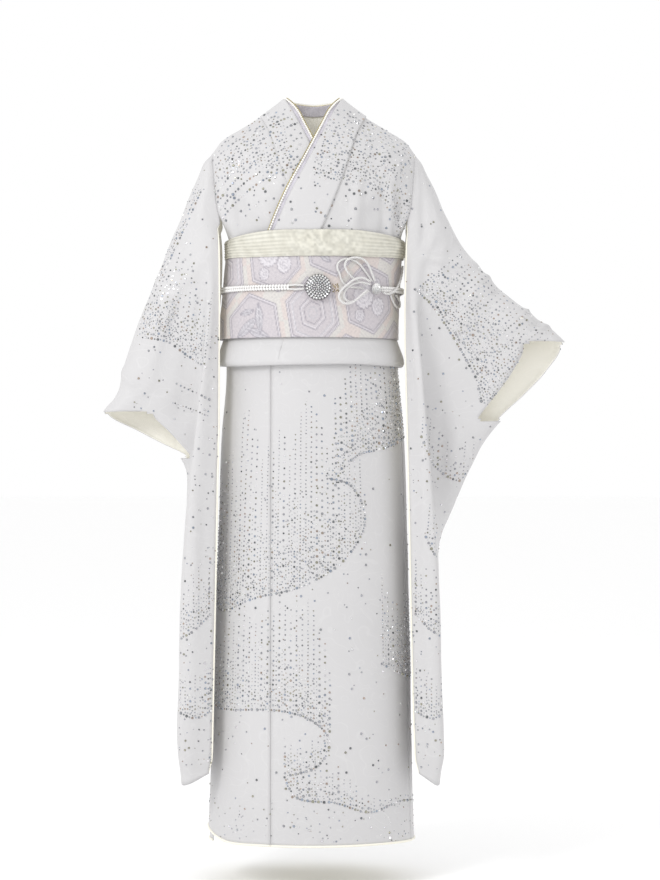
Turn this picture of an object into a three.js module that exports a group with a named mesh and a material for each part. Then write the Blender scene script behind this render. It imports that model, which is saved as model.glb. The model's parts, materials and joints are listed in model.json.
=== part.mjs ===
// A long-sleeved formal kimono (furisode) as it is worn: two body panels that run over the shoulders, the
// wrapped skirt with its overlap panels, the tuck under the sash, the collar with its inner edging, two long
// hanging sleeves, and the sash with its scarf, cord, brooch and drum bow. It keeps the hollow form of a
// wearer with lowered arms, and no wearer.
//
// Millimetres. x runs to the wearer's left, y to the back, and z is measured up from the hem. The exported
// group is lowered so that the origin is at the neck, where the shoulders hold the garment.
import * as THREE from "three";

// ---- Driving sizes ------------------------------------------------------------------------------------

const HOLD_HEIGHT = 1335; // the neck point where the garment is held, above the hem
const CLOTH = 1.8; // silk with its lining
const EDGING = 1.2; // the collar's inner edging
const SASH = 2.8; // folded brocade
const SEAM = 0.5; // gap between two pieces at a seam
const LAYER = 0.5; // air between a piece and what lies on it
const COLLAR_LIFT = 2.8; // the collar's outer face off the panels; more behind the neck
const COLLAR_LIFT_BACK = 4.2;

const UNDER_DEPTH = 3.8; // how far the right front lies under the left front in the skirt
const UNDER_CHEST = 8; // the same at the chest, where the collars come between
const SIDE_SEAM = 74; // degrees from the front centre
const FRONT_SEAM_X = -76; // where the left overlap panel is sewn to the left front
const WRAP_END = -93; // degrees, the left overlap panel's free edge
const SKIRT_TOP = 1030; // ends under the sash
const WAIST = 1096; // the wrapped body turns into the chest here
const BODICE_BOTTOM = 1042; // ends under the sash

const COLLAR_WIDTH = 56; // at the neck
const COLLAR_WIDTH_LOW = 84; // at the sash, where the collar is spread
const EDGING_SHOWS = 11;
const EDGING_WIDTH = 20;

const CORD_HEIGHT = 1011; // the sash cord's centre line
const CORD_WIDE = 11; // the braid, across
const CORD_THICK = 5.6;
const STRAND = 3.8; // diameter of the cord's split strands
const BROOCH_RADIUS = 23.5;

// ---- Tables -------------------------------------------------------------------------------------------

// Rings of the wrapped body: half width, half depth and centre at each height.
const BODY = [
  { z: -20, wide: 192, deep: 143, x: -4, y: 4 },
  { z: 0, wide: 191, deep: 142, x: -4, y: 4 },
  { z: 185, wide: 185, deep: 138, x: -3, y: 4 },
  { z: 375, wide: 181, deep: 136, x: -2, y: 5 },
  { z: 533, wide: 175, deep: 134, x: -1, y: 6 },
  { z: 642, wide: 173, deep: 132, x: -1, y: 7 },
  { z: 750, wide: 168, deep: 128, x: -1, y: 7 },
  { z: 866, wide: 158, deep: 121, x: -2, y: 5 },
  { z: 923, wide: 157.2, deep: 120.2, x: -6, y: 3 },
  { z: 1030, wide: 154, deep: 117, x: -1, y: 2 },
  { z: 1096, wide: 158.7, deep: 120.8, x: 3, y: 2 },
];

// Rings of the tuck, from under the sash down to its fold.
const TUCK = [
  { z: 868, wide: 170, deep: 131, x: -5, y: 3 },
  { z: 873, wide: 173, deep: 134, x: -5, y: 3 },
  { z: 885, wide: 172, deep: 133, x: -5, y: 3 },
  { z: 905, wide: 166, deep: 128, x: -6, y: 3 },
  { z: 923, wide: 160, deep: 123, x: -6, y: 3 },
  { z: 1026, wide: 158.5, deep: 121.5, x: -1, y: 2 },
];

// Rings of the sash, on its outer face.
const SASH_RINGS = [
  { z: 921, wide: 167, deep: 128.5, x: -9, y: 2.5 },
  { z: 940, wide: 166.5, deep: 128.5, x: -8, y: 2.5 },
  { z: 995, wide: 164.5, deep: 128, x: -4, y: 2.5 },
  { z: 1050, wide: 163.5, deep: 127, x: 0, y: 2 },
  { z: 1090, wide: 163, deep: 125, x: 3.5, y: 2 },
];

// The scarf over the sash's top edge: heights and how far out from the sash, in front and at the side.
const SCARF = [
  { front: 1116, side: 1102, frontOut: 1.4, sideOut: 2.8 },
  { front: 1112, side: 1100, frontOut: 4.6, sideOut: 4.2 },
  { front: 1099, side: 1094, frontOut: 7, sideOut: 4.2 },
  { front: 1084, side: 1084, frontOut: 6.8, sideOut: 4.2 },
  { front: 1067, side: 1069, frontOut: 2.7, sideOut: 2.6 },
];

// The chest's front, where the two fronts and their collars lie on one another: half width and depth.
const CHEST = [
  { z: 1096, wide: 158.7, deep: 120.8, y: 2 },
  { z: 1135, wide: 167, deep: 122, y: 2 },
  { z: 1170, wide: 182, deep: 123, y: 2 },
  { z: 1205, wide: 192, deep: 119, y: 2 },
  { z: 1240, wide: 198, deep: 107, y: 2 },
  { z: 1275, wide: 204, deep: 88, y: 2 },
  { z: 1308, wide: 210, deep: 63, y: 2 },
  { z: 1350, wide: 215, deep: 20, y: 2 },
];

// Half of the chest, for the wearer's left; the right is its mirror image.
const FRONT_EDGE = [
  { x: -48, y: -112, z: 1096 },
  { x: -14, y: -119, z: 1170 },
  { x: 22, y: -101, z: 1240 },
  { x: 52, y: -58, z: 1308 },
  { x: 72, y: 0, z: 1350 },
];
const BACK_EDGE = [
  { x: 0.4, y: 123, z: 1096 },
  { x: 0.4, y: 127, z: 1180 },
  { x: 0.4, y: 119, z: 1250 },
  { x: 0.4, y: 107, z: 1290 },
  { x: 7, y: 101, z: 1304 },
  { x: 29, y: 83, z: 1328 },
  { x: 57, y: 42, z: 1345 },
  { x: 72, y: 0, z: 1350 },
];
const SHOULDER = [
  { x: 72, y: 0, z: 1350 },
  { x: 98, y: 3, z: 1332 },
  { x: 133, y: 4, z: 1311 },
  { x: 170, y: 3, z: 1288 },
  { x: 186.5, y: 3, z: 1266 },
];
const ARMHOLE_FRONT = [
  { x: 162, y: -42, z: 1118 },
  { x: 175, y: -51, z: 1152 },
  { x: 181, y: -43, z: 1197 },
  { x: 185, y: -26, z: 1241 },
  { x: 186.5, y: 3, z: 1266 },
];
const ARMHOLE_BACK = [
  { x: 162, y: 48, z: 1118 },
  { x: 175, y: 57, z: 1152 },
  { x: 181, y: 49, z: 1197 },
  { x: 185, y: 32, z: 1241 },
  { x: 186.5, y: 3, z: 1266 },
];

// The collar's top edge round the back of the neck, from the side of the neck to the centre back.
const NECK_TOP = [
  { x: 50, y: -2, z: 1365 },
  { x: 52, y: 32, z: 1369 },
  { x: 41, y: 62, z: 1370 },
  { x: 22, y: 80, z: 1369 },
  { x: 0, y: 86, z: 1368 },
];

// A sleeve's level sections, from the shoulder down. The cloth runs from the front inner edge (ax, ay) out to
// the fold of the hanging front (fx, fy), back behind it (cx, cy), out to the arm or the sleeve's outer seam
// (tx, ty), round that with half depth r, turned by `turn` degrees towards the back, and in again past
// (ex, ey) to the back inner edge (bx, by). x is measured out from the middle.
const RIGHT_SLEEVE = [
  { z: 1262, ax: 186.7, ay: -6, fx: 189, fy: -7, cx: 190, cy: -8,
    tx: 196, ty: 3, r: 9, turn: 0, ex: 190, ey: 14, bx: 186.7, by: 12 },
  { z: 1241, ax: 186.2, ay: -25, fx: 190, fy: -25, cx: 193, cy: -24,
    tx: 204, ty: 3, r: 24, turn: 0, ex: 193, ey: 29, bx: 186.2, by: 31 },
  { z: 1197, ax: 183, ay: -42, fx: 191, fy: -43, cx: 198, cy: -42,
    tx: 222, ty: 2, r: 40, turn: 0, ex: 198, ey: 46, bx: 183, by: 48 },
  { z: 1152, ax: 177.5, ay: -50, fx: 190, fy: -52, cx: 203, cy: -50,
    tx: 241, ty: 1, r: 45, turn: 0, ex: 205, ey: 53, bx: 177.5, by: 56 },
  { z: 1108, ax: 173, ay: -53, fx: 189, fy: -57, cx: 206, cy: -54,
    tx: 262, ty: -1, r: 46, turn: 0, ex: 208, ey: 52, bx: 173, by: 57 },
  { z: 1019, ax: 171, ay: -58, fx: 188, fy: -66, cx: 209, cy: -57,
    tx: 296, ty: -5, r: 44, turn: 0, ex: 216, ey: 43, bx: 173, by: 42 },
  { z: 930, ax: 171, ay: -64, fx: 193, fy: -78, cx: 208, cy: -56,
    tx: 331, ty: -9, r: 42, turn: 0, ex: 226, ey: 34, bx: 180, by: 25 },
  { z: 864, ax: 171, ay: -69, fx: 200, fy: -85, cx: 206, cy: -53,
    tx: 352, ty: -13, r: 40, turn: 0, ex: 234, ey: 24, bx: 184, by: 10 },
  { z: 825, ax: 171, ay: -72, fx: 205, fy: -88, cx: 205, cy: -52,
    tx: 361, ty: -16, r: 38, turn: 0, ex: 238, ey: 18, bx: 182, by: 0 },
  { z: 784, ax: 171, ay: -75, fx: 209, fy: -90, cx: 204, cy: -51,
    tx: 391, ty: -19, r: 30, turn: 0, ex: 240, ey: 10, bx: 177, by: -14 },
  { z: 753, ax: 171, ay: -77, fx: 212, fy: -91, cx: 205, cy: -50,
    tx: 336, ty: -17, r: 26, turn: 4, ex: 238, ey: 6, bx: 178, by: -24 },
  { z: 730, ax: 172, ay: -79, fx: 214, fy: -92, cx: 206, cy: -49,
    tx: 293, ty: -13, r: 23, turn: 10, ex: 230, ey: 2, bx: 179, by: -32 },
  { z: 706, ax: 172, ay: -80, fx: 217, fy: -93, cx: 210, cy: -48,
    tx: 246, ty: -4, r: 18, turn: 26, ex: 216, ey: -6, bx: 181, by: -41 },
  { z: 676, ax: 173, ay: -81, fx: 220, fy: -94, cx: 218, cy: -46,
    tx: 229, ty: 16, r: 12, turn: 62, ex: 207, ey: -22, bx: 184, by: -54 },
  { z: 620, ax: 174, ay: -82, fx: 225, fy: -95, cx: 228, cy: -42,
    tx: 229, ty: 48, r: 8, turn: 84, ex: 212, ey: -46, bx: 187, by: -65 },
  { z: 500, ax: 176, ay: -84, fx: 232, fy: -97, cx: 237, cy: -30,
    tx: 235, ty: 82, r: 7.5, turn: 90, ex: 220, ey: -62, bx: 189, by: -70 },
  { z: 300, ax: 180, ay: -86, fx: 237, fy: -98, cx: 242, cy: -26,
    tx: 239, ty: 92, r: 7.5, turn: 90, ex: 225, ey: -64, bx: 192, by: -72 },
  { z: 200, ax: 182, ay: -86, fx: 240, fy: -97, cx: 245, cy: -24,
    tx: 242, ty: 92, r: 7, turn: 90, ex: 229, ey: -66, bx: 194, by: -73 },
  { z: 160, ax: 183, ay: -85, fx: 239, fy: -94, cx: 243, cy: -24,
    tx: 240, ty: 88, r: 5, turn: 90, ex: 231, ey: -72, bx: 194, by: -76 },
  { z: 138, ax: 184, ay: -84, fx: 236, fy: -90, cx: 238, cy: -26,
    tx: 235, ty: 82, r: 2.6, turn: 90, ex: 230, ey: -78, bx: 194, by: -79.2 },
];
const LEFT_SLEEVE = [
  { z: 1262, ax: 186.7, ay: -6, fx: 189, fy: -7, cx: 190, cy: -8,
    tx: 196, ty: 3, r: 9, turn: 0, ex: 190, ey: 14, bx: 186.7, by: 12 },
  { z: 1241, ax: 186.2, ay: -25, fx: 190, fy: -25, cx: 193, cy: -24,
    tx: 204, ty: 3, r: 24, turn: 0, ex: 193, ey: 29, bx: 186.2, by: 31 },
  { z: 1197, ax: 183, ay: -42, fx: 191, fy: -43, cx: 198, cy: -42,
    tx: 225, ty: 2, r: 40, turn: 0, ex: 198, ey: 46, bx: 183, by: 48 },
  { z: 1152, ax: 177.5, ay: -50, fx: 190, fy: -52, cx: 204, cy: -50,
    tx: 246, ty: 0, r: 46, turn: 0, ex: 206, ey: 53, bx: 177.5, by: 56 },
  { z: 1108, ax: 172, ay: -53, fx: 188, fy: -57, cx: 208, cy: -54,
    tx: 267, ty: -3, r: 46, turn: 0, ex: 210, ey: 50, bx: 173, by: 57 },
  { z: 1064, ax: 170, ay: -56, fx: 186, fy: -62, cx: 212, cy: -57,
    tx: 298, ty: -6, r: 45, turn: 0, ex: 218, ey: 46, bx: 172, by: 50 },
  { z: 1019, ax: 169, ay: -59, fx: 184, fy: -68, cx: 208, cy: -57,
    tx: 338, ty: -10, r: 44, turn: 0, ex: 228, ey: 38, bx: 172, by: 42 },
  { z: 975, ax: 168, ay: -62, fx: 185, fy: -74, cx: 203, cy: -55,
    tx: 392, ty: -16, r: 41, turn: 0, ex: 240, ey: 30, bx: 172, by: 34 },
  { z: 943, ax: 168, ay: -64, fx: 188, fy: -78, cx: 202, cy: -53,
    tx: 436, ty: -21, r: 37, turn: 0, ex: 250, ey: 22, bx: 177, by: 26 },
  { z: 912, ax: 168, ay: -67, fx: 191, fy: -81, cx: 201, cy: -52,
    tx: 467, ty: -25, r: 30, turn: 0, ex: 256, ey: 14, bx: 178, by: 18 },
  { z: 864, ax: 169, ay: -70, fx: 196, fy: -85, cx: 200, cy: -50,
    tx: 440, ty: -24, r: 25, turn: 0, ex: 254, ey: 8, bx: 178, by: 5 },
  { z: 820, ax: 170, ay: -73, fx: 200, fy: -88, cx: 199, cy: -49,
    tx: 398, ty: -21, r: 22, turn: 0, ex: 246, ey: 4, bx: 175, by: -8 },
  { z: 775, ax: 171, ay: -76, fx: 204, fy: -90, cx: 199, cy: -48,
    tx: 350, ty: -17, r: 19, turn: 4, ex: 238, ey: 0, bx: 177, by: -20 },
  { z: 731, ax: 172, ay: -78, fx: 208, fy: -92, cx: 200, cy: -47,
    tx: 315, ty: -11, r: 16, turn: 10, ex: 232, ey: -4, bx: 179, by: -32 },
  { z: 686, ax: 173, ay: -80, fx: 212, fy: -93, cx: 203, cy: -46,
    tx: 291, ty: -3, r: 13, turn: 18, ex: 226, ey: -10, bx: 181, by: -44 },
  { z: 642, ax: 174, ay: -81, fx: 215, fy: -94, cx: 207, cy: -45,
    tx: 269, ty: 8, r: 11, turn: 30, ex: 218, ey: -20, bx: 184, by: -55 },
  { z: 598, ax: 175, ay: -82, fx: 218, fy: -95, cx: 213, cy: -44,
    tx: 248, ty: 22, r: 9, turn: 48, ex: 212, ey: -34, bx: 186, by: -62 },
  { z: 545, ax: 176, ay: -83, fx: 221, fy: -96, cx: 221, cy: -40,
    tx: 229, ty: 44, r: 8, turn: 72, ex: 209, ey: -48, bx: 188, by: -68 },
  { z: 440, ax: 178, ay: -85, fx: 225, fy: -98, cx: 228, cy: -32,
    tx: 227, ty: 78, r: 7.5, turn: 90, ex: 212, ey: -62, bx: 190, by: -71 },
  { z: 300, ax: 181, ay: -86, fx: 228, fy: -98, cx: 231, cy: -28,
    tx: 229, ty: 90, r: 7.5, turn: 90, ex: 215, ey: -64, bx: 192, by: -73 },
  { z: 200, ax: 184, ay: -86, fx: 232, fy: -97, cx: 236, cy: -26,
    tx: 233, ty: 92, r: 7, turn: 90, ex: 220, ey: -67, bx: 195, by: -74 },
  { z: 158, ax: 186, ay: -85, fx: 233, fy: -94, cx: 236, cy: -26,
    tx: 233, ty: 88, r: 5, turn: 90, ex: 224, ey: -72, bx: 196, by: -76 },
  { z: 138, ax: 188, ay: -84, fx: 229, fy: -90, cx: 231, cy: -28,
    tx: 228, ty: 82, r: 2.6, turn: 90, ex: 223, ey: -78, bx: 197, by: -79.2 },
];
const RIGHT_CUFF = { top: 780, bottom: 700 }; // the outer end is open between these heights
const LEFT_CUFF = { top: 908, bottom: 770 };

// How far the sleeve's lower edge dips below its last section, along the section.
const SLEEVE_DIP = [
  { z: 0, dip: 8 },
  { z: 0.14, dip: 30 },
  { z: 0.3, dip: 4 },
  { z: 0.5, dip: -34 },
  { z: 0.7, dip: 4 },
  { z: 0.86, dip: 30 },
  { z: 1, dip: 8 },
];

// Soft folds: a ridge (or a trough, with a negative height) along a line, in the piece it names.
const FOLDS = {
  left_body: [
    { x1: 140, y1: -60, z1: 1275, x2: 128, y2: -105, z2: 1105, reach: 11, high: 9 },
    { x1: 118, y1: -70, z1: 1260, x2: 104, y2: -112, z2: 1105, reach: 10, high: -7 },
    { x1: 96, y1: -88, z1: 1225, x2: 70, y2: -116, z2: 1105, reach: 12, high: 5 },
    { x1: 150, y1: -48, z1: 1240, x2: 146, y2: -78, z2: 1120, reach: 9, high: -9 },
    { x1: 90, y1: 92, z1: 1270, x2: 70, y2: 115, z2: 1110, reach: 14, high: 6 },
    { x1: 130, y1: 70, z1: 1250, x2: 122, y2: 88, z2: 1120, reach: 12, high: -7 },
  ],
  right_body: [
    { x1: -138, y1: -60, z1: 1270, x2: -130, y2: -92, z2: 1110, reach: 12, high: -6 },
    { x1: -112, y1: -80, z1: 1240, x2: -104, y2: -108, z2: 1110, reach: 14, high: 5 },
    { x1: -88, y1: 92, z1: 1270, x2: -74, y2: 115, z2: 1110, reach: 14, high: 6 },
    { x1: -130, y1: 70, z1: 1250, x2: -120, y2: 88, z2: 1120, reach: 12, high: -7 },
  ],
  right_sleeve: [
    { x1: -205, y1: -46, z1: 1190, x2: -262, y2: -40, z2: 960, reach: 16, high: 6 },
    { x1: -240, y1: -48, z1: 1040, x2: -300, y2: -46, z2: 800, reach: 15, high: -6 },
    { x1: -215, y1: -52, z1: 960, x2: -250, y2: -44, z2: 760, reach: 13, high: 6 },
    { x1: -230, y1: 48, z1: 1120, x2: -260, y2: 34, z2: 860, reach: 16, high: 7 },
    { x1: -244, y1: 5, z1: 560, x2: -246, y2: 8, z2: 190, reach: 15, high: -6 },
    { x1: -240, y1: 52, z1: 560, x2: -246, y2: 54, z2: 190, reach: 12, high: 5 },
  ],
  left_sleeve: [
    { x1: 200, y1: -46, z1: 1200, x2: 205, y2: -54, z2: 1060, reach: 9, high: -8 },
    { x1: 222, y1: -44, z1: 1165, x2: 232, y2: -54, z2: 1020, reach: 11, high: 7 },
    { x1: 290, y1: -46, z1: 1056, x2: 215, y2: -58, z2: 1010, reach: 9, high: 7 },
    { x1: 330, y1: -52, z1: 1010, x2: 250, y2: -56, z2: 985, reach: 9, high: -7 },
    { x1: 385, y1: -56, z1: 965, x2: 262, y2: -52, z2: 870, reach: 13, high: 7 },
    { x1: 440, y1: -56, z1: 925, x2: 300, y2: -48, z2: 800, reach: 12, high: -6 },
    { x1: 330, y1: 24, z1: 1000, x2: 300, y2: 8, z2: 820, reach: 14, high: 7 },
    { x1: 232, y1: 5, z1: 480, x2: 236, y2: 8, z2: 190, reach: 15, high: -6 },
    { x1: 230, y1: 52, z1: 480, x2: 236, y2: 54, z2: 190, reach: 12, high: 5 },
  ],
};

// The drum bow's path behind the back, measured out from the sash, and its tail.
const DRUM = [
  { out: 16, z: 1062 },
  { out: 17, z: 1105 },
  { out: 22, z: 1142 },
  { out: 44, z: 1163 },
  { out: 68, z: 1146 },
  { out: 80, z: 1085 },
  { out: 84, z: 1010 },
  { out: 80, z: 935 },
  { out: 68, z: 900 },
  { out: 52, z: 896 },
  { out: 42, z: 925 },
  { out: 38, z: 985 },
];
const DRUM_HALF_WIDTH = 148;
const DRUM_ROUND = 14; // how far the sides of the drum and its tail fall back towards the body
const TAIL = [
  { out: 37.2, z: 984 },
  { out: 37.2, z: 940 },
  { out: 37.2, z: 880 },
  { out: 39, z: 836 },
];
const TAIL_HALF_WIDTH = 145;

// The knot of the sash cord, with its split strands: each lies off the sash by its lift, along its points in a
// front view.
const BROOCH_X = 10;
const KNOT = { x: 115, z: 1009.5, wide: 9.4, high: 10.8, deep: 8.6 };
const STRANDS = {
  cord_loop_1: [
    { x: 112, z: 1023.6, lift: 6.1 },
    { x: 106, z: 1039, lift: 6.7 },
    { x: 100, z: 1053, lift: 6.7 },
    { x: 91, z: 1062, lift: 6.5 },
    { x: 79.5, z: 1065, lift: 6.3 },
    { x: 67, z: 1063, lift: 6.3 },
    { x: 59.5, z: 1057, lift: 6.3 },
    { x: 58, z: 1048, lift: 6.3 },
    { x: 64.5, z: 1036, lift: 6.3 },
    { x: 77.5, z: 1024.5, lift: 6.1 },
    { x: 98, z: 1017, lift: 6.1 },
  ],
  cord_loop_2: [
    { x: 107.5, z: 1023.5, lift: 2.3 },
    { x: 97, z: 1037.5, lift: 2.3 },
    { x: 85, z: 1052.5, lift: 2.3 },
    { x: 72.5, z: 1060.5, lift: 2.3 },
    { x: 59.5, z: 1062.5, lift: 2.3 },
    { x: 48.5, z: 1057.5, lift: 2.3 },
    { x: 43.5, z: 1048.5, lift: 2.3 },
    { x: 47.5, z: 1037.5, lift: 2.3 },
    { x: 50.5, z: 1027, lift: 2.3 },
    { x: 57, z: 1015.5, lift: 2.3 },
    { x: 75, z: 1010, lift: 2.3 },
    { x: 98.5, z: 1011, lift: 2.3 },
  ],
  cord_loop_3: [
    { x: 103.5, z: 1022, lift: 14.1 },
    { x: 90.5, z: 1028, lift: 14.7 },
    { x: 77.5, z: 1026, lift: 15.1 },
    { x: 64.5, z: 1017, lift: 14.7 },
    { x: 51.5, z: 1005, lift: 14.3 },
    { x: 47, z: 994.5, lift: 14.1 },
    { x: 50.5, z: 985.5, lift: 14.1 },
    { x: 62, z: 981, lift: 14.1 },
    { x: 75, z: 986, lift: 14.1 },
    { x: 88, z: 997.5, lift: 14.1 },
    { x: 98.5, z: 1006.5, lift: 14.1 },
  ],
  cord_loop_4: [
    { x: 104, z: 1017, lift: 10.2 },
    { x: 88, z: 1020.5, lift: 10.4 },
    { x: 72.5, z: 1017, lift: 10.4 },
    { x: 60.5, z: 1007.5, lift: 10.3 },
    { x: 56, z: 997.5, lift: 10.2 },
    { x: 59.5, z: 988, lift: 10.2 },
    { x: 68.5, z: 984.5, lift: 10.2 },
    { x: 79, z: 989.5, lift: 10.2 },
    { x: 90.5, z: 998.5, lift: 10.2 },
    { x: 101, z: 1005.5, lift: 10.2 },
  ],
  cord_arc: [
    { x: 127.5, z: 1004.5, lift: 10.6 },
    { x: 138, z: 1001.5, lift: 10.6 },
    { x: 150, z: 1008.5, lift: 10.6 },
    { x: 158.5, z: 1024, lift: 7.4 },
    { x: 163, z: 1041, lift: 4.4 },
    { x: 165, z: 1056, lift: 2.4 },
  ],
  cord_end: [
    { x: 141, z: 1000.5, lift: 2.6 },
    { x: 146, z: 989.5, lift: 2.6 },
    { x: 151, z: 981.5, lift: 2.6 },
    { x: 157, z: 979.5, lift: 2.6 },
    { x: 160, z: 985, lift: 2.6 },
    { x: 156.5, z: 994, lift: 2.6 },
    { x: 151.5, z: 1001, lift: 2.6 },
  ],
  cord_split_1: [
    { x: -43.5, z: 1014, lift: 3.4 },
    { x: -30, z: 1015.2, lift: 3.6 },
    { x: -15.5, z: 1013.6, lift: 3.6 },
  ],
  cord_split_2: [
    { x: -43.5, z: 1008, lift: 3.4 },
    { x: -30, z: 1006.8, lift: 3.6 },
    { x: -15.5, z: 1008.4, lift: 3.6 },
  ],
};

// ---- Curves and tables --------------------------------------------------------------------------------

const vec = (x, y, z) => new THREE.Vector3(x, y, z);
const degrees = THREE.MathUtils.degToRad;
const { clamp, lerp, smoothstep } = THREE.MathUtils;

// Every column of a table at one value of z, without overshoot between rows. The table may run up or down.
function tableAt(table, at) {
  const rows = table[0].z < table[table.length - 1].z ? table : [...table].reverse();
  const z = clamp(at, rows[0].z, rows[rows.length - 1].z);
  let i = 0;
  while (i < rows.length - 2 && rows[i + 1].z < z) i++;
  const [a, b] = [rows[i], rows[i + 1]];
  const step = b.z - a.z;
  const t = (z - a.z) / step;
  const found = {};
  for (const key of Object.keys(a)) {
    const slope = (b[key] - a[key]) / step;
    const slopeAt = (before, after) => {
      if (!before || !after) return slope;
      const m1 = (after[0][key] - before[0][key]) / (after[0].z - before[0].z);
      const m2 = (after[1][key] - before[1][key]) / (after[1].z - before[1].z);
      return m1 * m2 <= 0 ? 0 : (2 * m1 * m2) / (m1 + m2);
    };
    const start = i > 0 ? slopeAt([rows[i - 1], a], [a, b]) : slope;
    const end = i < rows.length - 2 ? slopeAt([a, b], [b, rows[i + 2]]) : slope;
    const [t2, t3] = [t * t, t * t * t];
    found[key] =
      (2 * t3 - 3 * t2 + 1) * a[key] +
      (t3 - 2 * t2 + t) * step * start +
      (3 * t2 - 2 * t3) * b[key] +
      (t3 - t2) * step * end;
  }
  found.z = at;
  return found;
}

// A smooth curve through a table's points.
function curveThrough(points, side = 1) {
  return new THREE.CatmullRomCurve3(
    points.map((p) => vec(side * p.x, p.y, p.z)),
    false,
    "centripetal",
  );
}

// A point on an oval ring at an angle from the front centre, moved out by `out`.
function ringPoint(ring, angle, out = 0) {
  const a = degrees(angle);
  return vec(ring.x + (ring.wide + out) * Math.sin(a), ring.y - (ring.deep + out) * Math.cos(a), ring.z);
}

const bodyPoint = (z, angle, out = 0) => ringPoint(tableAt(BODY, z), angle, out);
const sashPoint = (z, angle, out = 0) => ringPoint(tableAt(SASH_RINGS, z), angle, out);

// The angle on the body's front at which x has a given value.
function bodyAngle(z, x) {
  const ring = tableAt(BODY, z);
  return THREE.MathUtils.radToDeg(Math.asin(clamp((x - ring.x) / ring.wide, -1, 1)));
}

const steps = (count, from = 0, to = 1) =>
  Array.from({ length: count + 1 }, (_, i) => lerp(from, to, i / count));

// ---- Solids -------------------------------------------------------------------------------------------

// The direction of a line of points at one of them.
function direction(points, i, around) {
  const n = points.length;
  if (around) return points[(i + 1) % n].clone().sub(points[(i + n - 1) % n]);
  if (i > 0 && i < n - 1) return points[i + 1].clone().sub(points[i - 1]);
  const ends = i === 0 ? points.slice(0, 3) : points.slice(n - 3).reverse();
  const [a, b, c] = ends;
  const away = b.clone().multiplyScalar(4).addScaledVector(a, -3).sub(c);
  return i === 0 ? away : away.negate();
}

// The unit normals of a grid of points, on the side its outer face is on.
function gridNormals(grid, around = false) {
  const columns = grid[0].map((_, j) => grid.map((row) => row[j]));
  return grid.map((row, i) =>
    row.map((_, j) => direction(row, j, around).cross(direction(columns[j], i, false)).normalize()),
  );
}

const backwards = (grid) => grid.map((row) => [...row].reverse());

// A wall of cloth as one closed solid. The grid holds its outer face, and `around` joins each row's ends.
// `open(i, j)` leaves out the cell between rows i, i + 1 and columns j, j + 1.
function clothWall(grid, { thickness = CLOTH, around = false, open = () => false } = {}) {
  const normals = gridNormals(grid, around);
  const columns = grid[0].length;
  const cells = around ? columns : columns - 1;
  const positions = [];
  grid.forEach((row, i) =>
    row.forEach((p, j) => {
      const inner = p.clone().addScaledVector(normals[i][j], -thickness);
      positions.push(p.x, p.y, p.z, inner.x, inner.y, inner.z);
    }),
  );
  const outer = (i, j) => 2 * (i * columns + (j % columns));
  const kept = (i, j) => {
    if (i < 0 || i > grid.length - 2) return false;
    if (!around && (j < 0 || j > cells - 1)) return false;
    return !open(i, (j + cells) % cells);
  };
  const index = [];
  const quad = (a, b, c, d) => index.push(a, b, c, a, c, d);
  const rim = (a, b) => quad(a, b, b + 1, a + 1);
  for (let i = 0; i < grid.length - 1; i++) {
    for (let j = 0; j < cells; j++) {
      if (!kept(i, j)) continue;
      const [a, b, c, d] = [outer(i, j), outer(i, j + 1), outer(i + 1, j + 1), outer(i + 1, j)];
      quad(a, b, c, d);
      quad(a + 1, d + 1, c + 1, b + 1);
      if (!kept(i - 1, j)) rim(b, a);
      if (!kept(i, j + 1)) rim(c, b);
      if (!kept(i + 1, j)) rim(d, c);
      if (!kept(i, j - 1)) rim(a, d);
    }
  }
  const used = [...new Set(index)].sort((p, q) => p - q);
  const place = new Map(used.map((v, k) => [v, k]));
  const geometry = new THREE.BufferGeometry();
  const corners = used.flatMap((v) => positions.slice(3 * v, 3 * v + 3));
  geometry.setAttribute("position", new THREE.Float32BufferAttribute(corners, 3));
  geometry.setIndex(index.map((v) => place.get(v)));
  geometry.computeVertexNormals();
  return geometry;
}

// A cord along a curve, flat by `wide` and `thick`, with round ends or closed on itself. `away` gives the
// direction of its thin side at a point.
function cord(curve, { wide, thick, count, sides = 8, closed = false, away }) {
  const positions = [];
  const index = [];
  const rows = closed ? count : count + 1;
  for (let i = 0; i < rows; i++) {
    const u = i / count;
    const at = curve.getPointAt(u);
    const along = curve.getTangentAt(u);
    const thin = away(at).addScaledVector(along, -away(at).dot(along)).normalize();
    const flat = along.clone().cross(thin);
    for (let j = 0; j < sides; j++) {
      const a = (2 * Math.PI * j) / sides;
      const p = at
        .clone()
        .addScaledVector(flat, (Math.cos(a) * wide) / 2)
        .addScaledVector(thin, (Math.sin(a) * thick) / 2);
      positions.push(p.x, p.y, p.z);
    }
  }
  for (let i = 0; i < (closed ? count : rows - 1); i++)
    for (let j = 0; j < sides; j++) {
      const [i2, j2] = [(i + 1) % rows, (j + 1) % sides];
      const [a, b, c, d] = [i * sides + j, i * sides + j2, i2 * sides + j2, i2 * sides + j];
      index.push(a, c, b, a, d, c);
    }
  if (!closed)
    for (let j = 1; j < sides - 1; j++) {
      index.push(0, j, j + 1);
      const base = (rows - 1) * sides;
      index.push(base, base + j + 1, base + j);
    }
  const geometry = new THREE.BufferGeometry();
  geometry.setAttribute("position", new THREE.Float32BufferAttribute(positions, 3));
  geometry.setIndex(index);
  geometry.computeVertexNormals();
  return geometry;
}

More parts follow.
